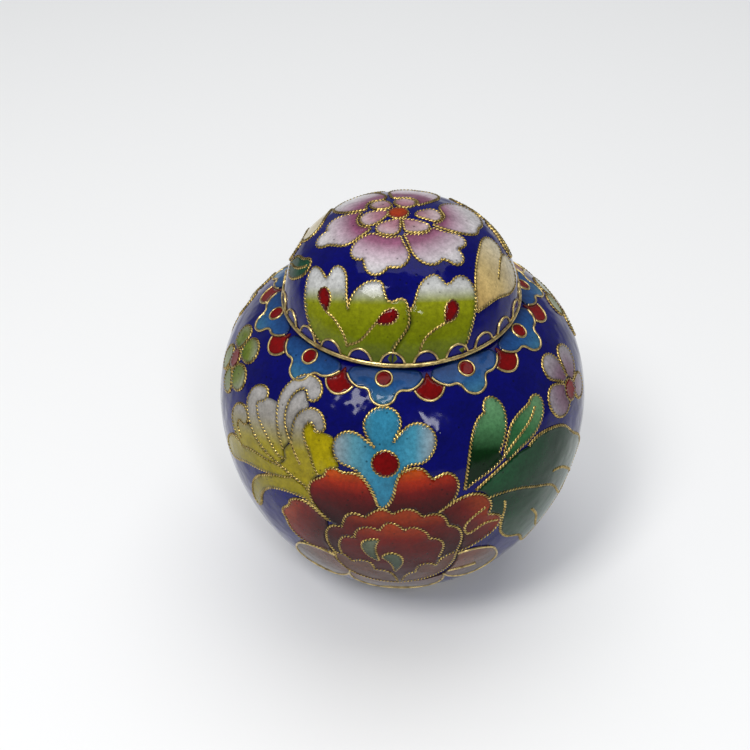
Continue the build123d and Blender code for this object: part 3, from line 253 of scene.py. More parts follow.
MOTIFS["lid_flower"] = dict(
    surface="lid", azimuth=0, height=None, copies=1,
    wires={
        "heart": ring(-0.4, 0.1, 1.65),
        "inner_1": [(-0.3, -1.9), (-1.7, -2.1), (-3, -2.5), (-4, -3.4), (-3.8, -4.7), (-2.5, -5.5),
            (-1.1, -5.6), (-0.3, -4.9), (-0.1, -3.4), (-0.3, -1.9)],
        "inner_2": [(0.5, -1.9), (1.8, -1.9), (3.4, -2.3), (4.7, -3.1), (4.5, -4.2), (3.3, -4.9),
            (1.9, -5.1), (0.8, -4.8), (0.5, -3.4), (0.5, -1.9)],
        "inner_3": [(2.6, -0.5), (4.2, -1.3), (5.8, -1.6), (6.7, -0.7), (6.8, 0.6), (6.2, 1.7),
            (5.1, 2), (3.8, 1.3), (2.8, 0.5), (2.6, -0.5)],
        "inner_4": [(0.3, 2.1), (1.6, 2.2), (2.5, 3.3), (2.4, 4.6), (1.3, 5.4), (-0.2, 5.3), (-1, 4.4),
            (-0.8, 3.1), (0.3, 2.1)],
        "inner_5": [(-1.6, 2.3), (-1.8, 3.7), (-2.8, 4.9), (-4.4, 4.9), (-5.1, 3.6), (-4.4, 2.2),
            (-3, 1.8), (-1.6, 2.3)],
        "inner_6": [(-2.3, 0.9), (-3.8, 1.2), (-5.5, 1.1), (-6.6, 0.1), (-6.6, -1.5), (-5.6, -2.7),
            (-4.3, -2.6), (-3.2, -1.7), (-2.4, -0.6), (-2.3, 0.9)],
        "outer_1a": [(-0.1, -6), (0.6, -7.9), (1.3, -9.7), (1, -11), (0, -11.9), (-1.2, -12),
            (-2.1, -11.9)],
        "outer_1b": [(-2.1, -11.9), (-2.9, -12.6), (-4.1, -12.9), (-5.3, -12.3), (-5.9, -11.2),
            (-6.1, -9.9)],
        "outer_1c": [(-6.1, -9.9), (-7.3, -9.6), (-8.1, -8.5), (-8, -7.1), (-7.1, -5.9), (-5.9, -5.2),
            (-4.6, -5), (-3, -5.9), (-1.4, -6.3), (-0.1, -6)],
        "outer_2a": [(0.5, -5.7), (1.3, -7.8), (2, -9.6), (3, -10.7), (4.4, -11.2), (5.7, -10.9),
            (6.7, -9.9)],
        "outer_2b": [(6.7, -9.9), (7.6, -9.9), (8.7, -10.2), (9.8, -9.7), (10.2, -8.6), (9.3, -7.1)],
        "outer_2c": [(9.3, -7.1), (10.3, -6.2), (10.7, -5), (10.1, -4.1), (8.4, -3.9), (6.6, -3.9),
            (5.2, -3.7), (4.6, -4.7), (3.3, -5.4), (1.9, -5.6), (0.5, -5.7)],
        "outer_3a": [(5.3, -2.7), (7.4, -3.2), (9.7, -3.2), (11.5, -2.7), (12.8, -1.5), (13.1, 0.2)],
        "outer_3b": [(13.1, 0.2), (13.8, 1.8), (13.9, 3.7), (13.3, 5.4), (12, 6.6), (10.4, 6.9),
            (8.8, 6.3), (7.4, 5), (6.7, 3.4), (6.9, 2.1), (7.4, 0.6), (7.1, -0.9), (6.3, -2),
            (5.3, -2.7)],
        "outer_4a": [(3, 3), (4.5, 4.4), (5.9, 6.4), (6.7, 8.7), (6.1, 10.7), (4.6, 11.7), (3.3, 11.6)],
        "outer_4b": [(3.3, 11.6), (1.9, 12.5), (0.2, 12.3), (-1.2, 11.4), (-1.9, 9.8), (-1.7, 7.8),
            (-1.1, 6.1), (0.2, 6), (1.8, 5.8), (2.9, 4.6), (3, 3)],
        "outer_5a": [(-5.8, 2.5), (-8, 2.8), (-10, 3.8), (-11.3, 5.6), (-11.6, 7.6), (-10.5, 9.4)],
        "outer_5b": [(-10.5, 9.4), (-9.7, 11), (-7.8, 12), (-5.8, 11.7), (-4.2, 10.6), (-3, 8.6),
            (-2.6, 6.4), (-3.3, 5.5), (-4.8, 5.5), (-5.8, 4.2), (-5.8, 2.5)],
        "outer_6a": [(-6.6, 1.7), (-8.3, 2), (-10.2, 2.3), (-11.7, 1.8), (-12.4, 0.6), (-12.4, -0.8)],
        "outer_6b": [(-12.4, -0.8), (-13.7, -1.4), (-14.2, -2.7), (-13.5, -4.1), (-12, -4.6)],
        "outer_6c": [(-12, -4.6), (-10.8, -5.4), (-9.3, -6.1), (-7.9, -5.8), (-6.4, -4.8), (-5.1, -3.6),
            (-6.3, -2.9), (-7.2, -1.6), (-7.3, 0.1), (-6.6, 1.7)],
    },
    cells={
        "lid_flower_heart": [["heart"]],
        "lid_flower_inner_petals": [[f"inner_{k}"] for k in range(1, 7)],
        "lid_flower_petals": [["outer_1a", "outer_1b", "outer_1c"],
            ["outer_2a", "outer_2b", "outer_2c"], ["outer_3a", "outer_3b"], ["outer_4a", "outer_4b"],
            ["outer_5a", "outer_5b"], ["outer_6a", "outer_6b", "outer_6c"]],
    })

MOTIFS["lotus"] = dict(
    surface="lid", azimuth=0, height=8, copies=2,
    wires={
        "left_a": [(-13.4, -4), (-14.8, -2), (-15.6, 0.2), (-16, 2.8), (-15.8, 5.4), (-15.2, 7.4),
            (-14.2, 8.4), (-13.2, 7.9), (-12.4, 6.7)],
        "left_b": [(-12.4, 6.7), (-11.7, 7.3), (-11.1, 8.3), (-10.2, 8.6), (-9.3, 8), (-8.9, 6.6),
            (-8.9, 4.4), (-8.6, 1.9)],
        "left_c": [(-8.6, 1.9), (-8.2, 3.5), (-7.3, 4.9), (-6, 5.9), (-4.5, 6.4), (-3.2, 6.1),
            (-2.8, 4.9), (-2.3, 3.4)],
        "left_d": [(-2.3, 3.4), (-1.5, 3.1), (-0.5, 3.5), (0.5, 3.4), (1, 2.4), (1.2, 1), (1.1, -0.4),
            (0.5, -1.7), (-0.4, -2.9), (-1.2, -4.1), (-1.6, -5.2)],
        "right_a": [(1.3, 1.6), (2, 2.7), (2.5, 4.3), (3.2, 5.9), (4.3, 6.9), (5.5, 7.2), (6.4, 6.6),
            (7.2, 5.7)],
        "right_b": [(7.2, 5.7), (8, 5.9), (8.7, 6.6), (9.8, 6.9), (10.9, 6.3), (11.8, 4.9), (12.1, 3),
            (11.9, 0.8), (11.4, -1.4), (10.7, -3.6), (10.1, -5.3)],
        "stem_1": [(-12.3, 1.4), (-11.1, 0.4), (-10.1, -1), (-9.3, -2.6), (-8.9, -4.3)],
        "stem_2": [(-4.1, -0.2), (-5, -1.2), (-6.1, -2.5), (-7.4, -3.5), (-8.7, -3.9)],
        "stem_3": [(7.1, -0.3), (5.6, -1.2), (4.1, -2.4), (3.2, -3.9), (2.8, -5.4)],
        "bud_1a": [(-12.3, 1.4), (-13.1, 2.6), (-13.6, 4), (-12.9, 5.1), (-12.2, 5.2)],
        "bud_1b": [(-12.2, 5.2), (-11.6, 4.2), (-11.7, 2.7), (-12.3, 1.4)],
        "bud_2a": [(-4.1, -0.2), (-3.3, 1), (-2.2, 1.9), (-1.1, 2), (-0.5, 1.2)],
        "bud_2b": [(-0.5, 1.2), (-1.1, 0.1), (-2.4, -0.4), (-4.1, -0.2)],
        "bud_3a": [(7.1, -0.3), (7, 1.2), (7.4, 2.7), (8.2, 3.3)],
        "bud_3b": [(8.2, 3.3), (9, 2.6), (9.1, 1.3), (8.4, 0.2), (7.1, -0.3)],
        "_left_foot": [(-1.6, -5.2), (-1.9, -7.3), (-6, -7.1), (-10, -6.1), (-13.2, -5), (-13.4, -4)],
        "_right_foot": [(10.1, -5.3), (9.6, -6.3), (5, -7.2), (1, -7.5), (-1.6, -7.3)],
        "_between": [(-1.6, -7.3), (-1.3, -5.2), (-0.9, -4.1), (-0.1, -2.9), (0.8, -1.7), (1.4, -0.4),
            (1.4, 0.8), (1.3, 1.6)],
    },
    cells={
        "lotus_petals": [["left_a", "left_b", "left_c", "left_d", "_left_foot"],
            ["right_a", "right_b", "_right_foot", "_between"]],
        "lotus_buds": [["bud_1a", "bud_1b"], ["bud_2a", "bud_2b"], ["bud_3a", "bud_3b"]],
    })

MOTIFS["cream_petal"] = dict(
    surface="lid", azimuth=55, height=7, copies=2,
    wires={
        "top": [(-5, 0.2), (-4.3, 1.7), (-3.3, 3.3), (-2, 4.8), (-0.3, 6.1), (1.6, 7.1), (3.6, 7.8),
            (5.6, 8.2), (7.4, 7.8), (8.5, 6.5), (8.3, 5), (7.3, 4.3)],
        "low": [(7.3, 4.3), (8.7, 3.7), (9.5, 2.3), (9.4, 0.5), (8.3, -0.9), (6.2, -1.5), (3.9, -1.3),
            (1.8, -0.6), (0, -0.1), (-2.4, 0.1), (-5, 0.2)],
        "fold": [(2.6, 2.1), (4, 3), (5.6, 3.8), (7.3, 4.3)],
    },
    cells={
        "cream_petals": [["top", "low"]],
    })

MOTIFS["lid_leaf"] = dict(
    surface="lid", azimuth=-60, height=7, copies=2,
    wires={
        "top": [(-1.8, 3.9), (-2.3, 5), (-3.2, 5.2), (-4.5, 4.5), (-6.2, 4), (-7.9, 3.2), (-9, 1.6)],
        "low": [(-9, 1.6), (-7.6, 0.2), (-5.8, 0.1), (-4.2, 0.8), (-2.9, 1.8), (-2, 2.9), (-1.8, 3.9)],
        "vein": [(-2.6, 4.2), (-4.2, 2.9), (-6.2, 2), (-8, 1.7)],
    },
    cells={
        "lid_leaves": [["top", "low"]],
    })

MOTIFS["blue_flower"] = dict(
    surface="jar", azimuth=-4, height=12, copies=2,
    wires={
        "heart": ring(-0.65, 0.3, 2.15),
        "top": [(-2.4, 2.95), (-3.3, 4), (-4, 5.2), (-4.3, 6.6), (-3.7, 8), (-2.4, 9), (-0.8, 9.2),
            (0.7, 8.7), (1.5, 7.6), (1.6, 6.4), (1.1, 5.2), (0.6, 3.9)],
        "right": [(0.6, 3.9), (1.6, 5.2), (2.8, 6.4), (4.3, 6.9), (5.9, 6.5), (7, 5.5), (7.4, 4.1),
            (7.1, 2.6), (6.3, 1.3), (5.1, 0.5), (3.7, 0.3), (2.6, -0.3), (1.7, -1.4)],
        "tail": [(1.7, -1.4), (1.2, -2.9), (0.9, -4.6), (0.5, -6.2), (-0.2, -7.4), (-1.1, -7.9),
            (-1.9, -7.3), (-2.3, -5.9), (-3.1, -4), (-4.2, -2.3), (-5.2, -1.3)],
        "left": [(-5.2, -1.3), (-6.3, -0.7), (-7.6, -0.3), (-8.8, 0.6), (-9.3, 2), (-9.1, 3.5),
            (-8.2, 4.6), (-6.9, 5.1), (-5.4, 4.9), (-4.1, 4.1), (-2.4, 2.95)],
    },
    cells={
        "blue_flower_petals": [["top", "right", "tail", "left"]],
        "blue_flower_hearts": [["heart"]],
    })

MOTIFS["peony_crown"] = dict(
    surface="jar", azimuth=0, height=2, copies=2,
    wires={
        "left_top": [(-4.2, 2.4), (-4.7, 4.1), (-5.4, 5.7), (-6.2, 7.1), (-7.2, 8), (-8.4, 8.3),
            (-9.8, 8.1), (-11.2, 8.5), (-12.6, 8.1)],
        "left_side": [(-12.6, 8.1), (-13.2, 6.7), (-14.2, 5.9), (-15.3, 4.9), (-15.8, 3.5), (-15.7, 2),
            (-15.1, 0.4), (-13.9, -1.2), (-12.4, -2.7)],
        "_left_foot": [(-12.4, -2.7), (-10.8, -3.5), (-10.1, -2.2), (-9.3, -0.6), (-8, 0.1), (-6.6, 0),
            (-5.5, 0.9), (-4.2, 2.4)],
        "right_top": [(-3.1, 2.4), (-2.2, 3.7), (-1.6, 5.4), (-1.2, 7.1), (-0.6, 8.5), (0.7, 9.4),
            (2.2, 9.7), (3.5, 9.2), (4.2, 8.3), (4.9, 7.6)],
        "right_side": [(4.9, 7.6), (5.9, 8), (7.1, 8.3), (8.3, 7.7), (9, 6.4), (9, 4.8), (8.4, 3.3),
            (7.2, 2), (5.7, 0.8)],
        "_right_foot": [(5.7, 0.8), (4.4, 0.8), (3.3, 0.4), (2.6, 1.3), (1.5, 2.1), (0.2, 2.2),
            (-1.6, 1.3), (-3.1, 2.4)],
    },
    cells={
        "peony_crown_petals": [["left_top", "left_side", "_left_foot"],
            ["right_top", "right_side", "_right_foot"]],
    })

MOTIFS["peony"] = dict(
    surface="jar", azimuth=0, height=-6, copies=2,
    wires={
        "outer_a": [(-11.9, -4.3), (-12.8, -2.6), (-13.3, -0.6), (-13.3, 1.3), (-12.8, 3), (-11.8, 4),
            (-10.5, 4.3)],
        "outer_b": [(-10.5, 4.3), (-10.2, 5.6), (-9.8, 6.9), (-9, 7.9), (-7.8, 8.1), (-6.5, 7.7)],
        "outer_c": [(-6.5, 7.7), (-5.8, 8.4), (-4.8, 9.3), (-3.6, 9.8), (-2.5, 9.5), (-1.7, 9)],
        "outer_d": [(-1.7, 9), (-0.8, 9.6), (0.4, 10), (1.7, 9.7), (2.6, 9), (3.2, 8.2)],
        "outer_e": [(3.2, 8.2), (4.3, 8.5), (5.5, 8.4), (6.6, 7.7), (7.2, 6.5), (7.5, 5.3)],
        "outer_f": [(7.5, 5.3), (8.6, 4.7), (9.5, 3.5), (9.9, 1.8), (9.8, 0), (9.5, -1.4), (9.1, -2.7)],
        "inner_a": [(-10.8, -4), (-11.2, -2.2), (-11.1, -0.3), (-10.6, 1.2), (-9.6, 2), (-8.4, 2.1)],
        "inner_b": [(-8.4, 2.1), (-8.2, 3.4), (-7.6, 4.6), (-6.5, 5.3), (-5.2, 5.4), (-4.1, 4.9)],
        "inner_c": [(-4.1, 4.9), (-3.6, 5.9), (-2.8, 6.8), (-1.8, 6.9), (-0.7, 6.2), (0.1, 5.2)],
        "inner_d": [(0.1, 5.2), (1, 5.8), (2.1, 5.7), (3.2, 5), (4, 3.9), (4.3, 2.7)],
        "inner_e": [(4.3, 2.7), (5.4, 2.4), (6.4, 1.5), (6.8, 0.1), (6.6, -1.5), (6.1, -3.4)],
        "rim_left": [(-11.9, -4.3), (-10.8, -4.1), (-9.8, -4.9), (-9, -6)],
        "lobe_left": [(-9, -6), (-8.2, -5.3), (-7.1, -4.9), (-6.1, -5.2), (-5.5, -6.3), (-5.2, -7.8)],
        "tip_left": [(-5.2, -7.8), (-4.1, -8), (-3.1, -8.3), (-2.2, -9.3), (-1.6, -11), (-1.2, -13)],
        "tip_right": [(-0.5, -13), (-0.1, -11.3), (0.5, -9.7), (1.2, -8.9), (2, -8.5)],
        "lobe_right": [(2, -8.5), (2.2, -7.1), (2.7, -5.9), (3.7, -5.4), (4.7, -5.6), (5.6, -6.5)],
        "rim_right": [(5.6, -6.5), (6.1, -5.1), (6.8, -4), (7.8, -3.2), (9.1, -2.7)],
        "bowl_left": [(-11.9, -4.3), (-12, -6.2), (-11.4, -8.1), (-10.2, -10.1), (-8.4, -11.9),
            (-6.2, -13.2), (-3.6, -13.9), (-0.9, -14)],
        "bowl_right": [(-0.9, -14), (1.6, -13.3), (4.2, -12), (6.2, -10.3), (7.8, -8.1), (8.7, -5.8),
            (9.1, -2.7)],
        "comma_1a": [(-4.3, 2.4), (-5.8, 2.2), (-6.9, 1.4), (-7.2, 0), (-6.7, -1.8), (-5.7, -3.2),
            (-4.4, -4.1)],
        "comma_1b": [(-4.4, -4.1), (-4.8, -1.8), (-4.9, 0.2), (-4.3, 2.4)],
        "comma_2a": [(-3.8, -2.9), (-3.2, -1.9), (-2.2, -1.4), (-1.1, -1.8), (-0.4, -3), (-0.3, -4.5),
            (-0.8, -6.3), (-1.6, -8.1)],
        "comma_2b": [(-1.6, -8.1), (-1.9, -6.2), (-2.5, -4.5), (-3.8, -2.9)],
        "side_right_a": [(5.9, 8.8), (7.4, 9.7), (9, 10.5), (10.7, 10.9), (12.4, 10.6), (13.8, 9.6),
            (14.6, 8.2), (14.8, 6.6), (14.4, 5.2)],
        "side_right_b": [(14.4, 5.2), (15.7, 4.4), (16.6, 3.3), (16.6, 1.8), (15.8, 0.4), (14.4, -0.8),
            (12.6, -1.8), (10.8, -2.6), (9.5, -2.9)],
        "side_fold": [(13.9, 7.1), (12.5, 6.3), (11.1, 5.2), (10.4, 3.9), (10.5, 2.6), (11, 1.8),
            (12, 2.1), (13.3, 2.9), (14.8, 3.1), (16.2, 2.6)],
        "_side_right_seam": [(9.5, -2.9), (9.9, -0.6), (10.1, 1.8), (9.7, 3.7), (8.8, 5), (7.7, 5.6),
            (7.4, 6.8), (6.8, 7.9), (5.9, 8.8)],
        "side_left_a": [(-13.1, 4.9), (-14.4, 6), (-15.7, 6.9), (-17.2, 7.2), (-18.6, 6.6),
            (-19.5, 5.5)],
        "side_left_b": [(-19.5, 5.5), (-19.9, 4), (-20.7, 2.8), (-21.1, 1.4), (-20.6, 0)],
        "side_left_c": [(-20.6, 0), (-20.3, -1.6), (-19.5, -3.3), (-18.2, -4.5), (-16.4, -4.9),
            (-14.4, -4.7), (-12.2, -4.5)],
        "_side_left_seam": [(-12.2, -4.5), (-13, -2.7), (-13.5, -0.6), (-13.5, 1.4), (-13, 3.2),
            (-13.1, 4.9)],
        "_band_right": [(9.1, -2.7), (7.8, -3.1), (6.7, -3.8), (6.1, -3.4)],
        "_band_left": [(-10.8, -4), (-11.9, -4.3)],
        "_face_right": [(6.1, -3.4), (6, -4.9), (5.6, -6.5)],
        "_face_tip": [(-0.5, -13), (-0.9, -13.6), (-1.2, -13)],
        "_face_left": [(-9, -6), (-9.8, -4.9), (-10.8, -4)],
        "_tip_seam": [(-1.2, -13), (-0.9, -14)],
        "_tip_seam_right": [(-0.9, -14), (-0.5, -13)],
    },
    cells={
        "peony_bands": [["outer_a", "outer_b", "outer_c", "outer_d", "outer_e", "outer_f",
            "_band_right", "-inner_e", "-inner_d", "-inner_c", "-inner_b", "-inner_a", "_band_left"]],
        "peony_faces": [["inner_a", "inner_b", "inner_c", "inner_d", "inner_e", "_face_right",
            "-lobe_right", "-tip_right", "_face_tip", "-tip_left", "-lobe_left", "_face_left"]],
        "peony_bowls": [["rim_left", "lobe_left", "tip_left", "_tip_seam", "-bowl_left"],
            ["tip_right", "lobe_right", "rim_right", "-bowl_right", "_tip_seam_right"]],
        "peony_commas": [["comma_1a", "comma_1b"], ["comma_2a", "comma_2b"]],
        "peony_side_petals": [["side_right_a", "side_right_b", "_side_right_seam"],
            ["side_left_a", "side_left_b", "side_left_c", "_side_left_seam"]],
    })

MOTIFS["peony_foot"] = dict(
    surface="jar", azimuth=0, height=-16, copies=2,
    wires={
        "left": [(-12.2, 4.1), (-14.2, 4.6), (-16.2, 4.2), (-18.2, 2.8), (-19.3, 0.4), (-19.7, -2.4),
            (-19, -5.2), (-17.2, -7.4), (-14.8, -8.2), (-12.4, -7.2), (-10.8, -5.2), (-10, -3),
            (-9.8, -0.9)],
        "middle": [(-9.8, -0.9), (-9.9, -3.6), (-8.9, -6.4), (-6.8, -8.8), (-3.8, -10.3), (-0.4, -10.7),
            (3, -9.8), (5.6, -7.6), (7, -4.6), (7.1, -1.3)],
        "right": [(9.4, 6.2), (11.8, 6.2), (14, 5.1), (15.8, 3.2), (16.6, 0.7), (16.9, -2.2), (16, -5),
            (13.8, -6.8), (11.2, -6.6), (9.2, -4.9), (7.8, -3), (7.1, -1.3)],
        "fold": [(7.8, -0.1), (10, -0.4), (12.9, -1)],
        "_left_seam": [(-9.8, -0.9), (-11, 1.2), (-12, 2.8), (-12.2, 4.1)],
        "_middle_seam": [(7.1, -1.3), (4.8, -2.4), (1.8, -3.4), (-1.4, -3.8), (-4.8, -3.5),
            (-7.6, -2.4), (-9.8, -0.9)],
        "_right_seam": [(7.1, -1.3), (8.4, 1.6), (9.1, 3.9), (9.4, 6.2)],
    },
    cells={
        "peony_foot_petals": [["left", "_left_seam"], ["middle", "_middle_seam"],
            ["right", "_right_seam"]],
    })

MOTIFS["leaf_spray"] = dict(
    surface="jar", azimuth=38, height=8, copies=2,
    wires={
        "upright_a": [(-11.9, -1), (-11.3, 1.2), (-10.5, 3.6), (-9.6, 5.8), (-8.6, 7.6), (-7.4, 9.1),
            (-6.1, 10), (-5.1, 10.3)],
        "upright_b": [(-5.1, 10.3), (-4.6, 11.3), (-3.7, 12), (-2.5, 11.8), (-1.7, 10.7), (-1.6, 9.2),
            (-2.1, 7.6), (-3, 5.9), (-4, 4.5), (-4.9, 3.4)],
        "_upright_seam": [(-4.9, 3.4), (-4.4, 2.2)],
        "stem": [(-11.9, -1), (-10.4, -0.2), (-8.2, 0.6), (-6.2, 1.3), (-4.4, 2.2)],
        "midrib": [(-4.4, 2.2), (-2.6, 3.4), (-0.8, 4.3), (1, 5.1), (2.8, 6), (4.6, 7.4)],
        "slim_a": [(-4.1, 2.8), (-3.4, 4), (-2.5, 5.4), (-1.5, 6.6), (0, 7.5), (1.8, 8), (3.5, 8.3)],
        "slim_b": [(3.5, 8.3), (4.6, 8.9), (5.8, 8.8), (6.5, 7.7), (6.2, 6.2), (5.2, 4.9), (3.8, 3.9),
            (2, 3.1), (0, 2.6), (-1.9, 2), (-3.8, 1.2)],
        "_slim_seam": [(-3.8, 1.2), (-4.1, 2.8)],
        "low_stem": [(-3.8, 1.2), (-6, 0.3), (-8.2, -0.8), (-10.1, -1.9)],
    },
    cells={
        "spray_leaves": [["upright_a", "upright_b", "_upright_seam", "-stem"],
            ["slim_a", "slim_b", "_slim_seam"]],
    })

MOTIFS["big_leaves"] = dict(
    surface="jar", azimuth=52, height=-6, copies=2,
    wires={
        "curl": [(-7, 15.3), (-5.5, 15.9), (-3.2, 16), (-0.8, 15.5), (1.5, 14.6), (3.5, 13.1),
            (4.9, 11.4), (6.5, 9.5), (8.5, 7.6), (10.2, 5.5), (11.6, 3.2)],
        "tip": [(11.6, 3.2), (12.4, 0.8), (12.3, -1.8), (11, -4.2), (8.8, -5.8), (6.2, -6)],
        "between": [(-15.8, 8.9), (-13.6, 9), (-11.4, 8.7), (-9.2, 8), (-7, 6.9), (-4.6, 5.6),
            (-2.4, 4.2), (-0.6, 2.5), (1, 0.4), (2.6, -2), (4.4, -4.2), (6.2, -6)],
        "vein_1": [(-1.4, 6.8), (0.6, 6), (2.6, 4.6), (4.6, 2.6), (6.6, 0.4), (8.6, -2.2)],
        "low_curl": [(-12.9, 7), (-12.8, 5.4), (-13, 3.4), (-13.1, 1.4)],
        "low_edge": [(-13.1, 1.4), (-12.9, -0.6), (-12.1, -2.4), (-10.8, -4), (-9, -5.2), (-7.2, -6.6),
            (-6, -8.2), (-5, -10), (-3.8, -11.8), (-2, -13.4), (-0.2, -14.2)],
        "low_tip": [(-0.2, -14.2), (2.4, -13), (4.6, -10.8), (5.8, -8.4), (6.2, -6)],
        "vein_2": [(-6.2, 0.6), (-5.2, -0.8), (-4.2, -2.4), (-3.4, -4.2), (-2.6, -6.4), (-1.4, -8.6)],
        "_stem_seam": [(-17.3, 11), (-15, 12.7), (-12.8, 13.9), (-10.6, 14.8), (-8.8, 15.2),
            (-7, 15.3)],
        "_peony_seam": [(-15.8, 8.9), (-16.2, 10), (-17.3, 11)],
        "_low_seam": [(-15.8, 8.9), (-15.5, 7.2), (-15.9, 6), (-15, 5), (-14, 4.2), (-13.4, 3),
            (-13.1, 1.4)],
    },
    cells={
        "big_leaf_enamel": [["_stem_seam", "curl", "tip", "-between", "_peony_seam"],
            ["between", "-low_tip", "-low_edge", "-_low_seam"]],
    })

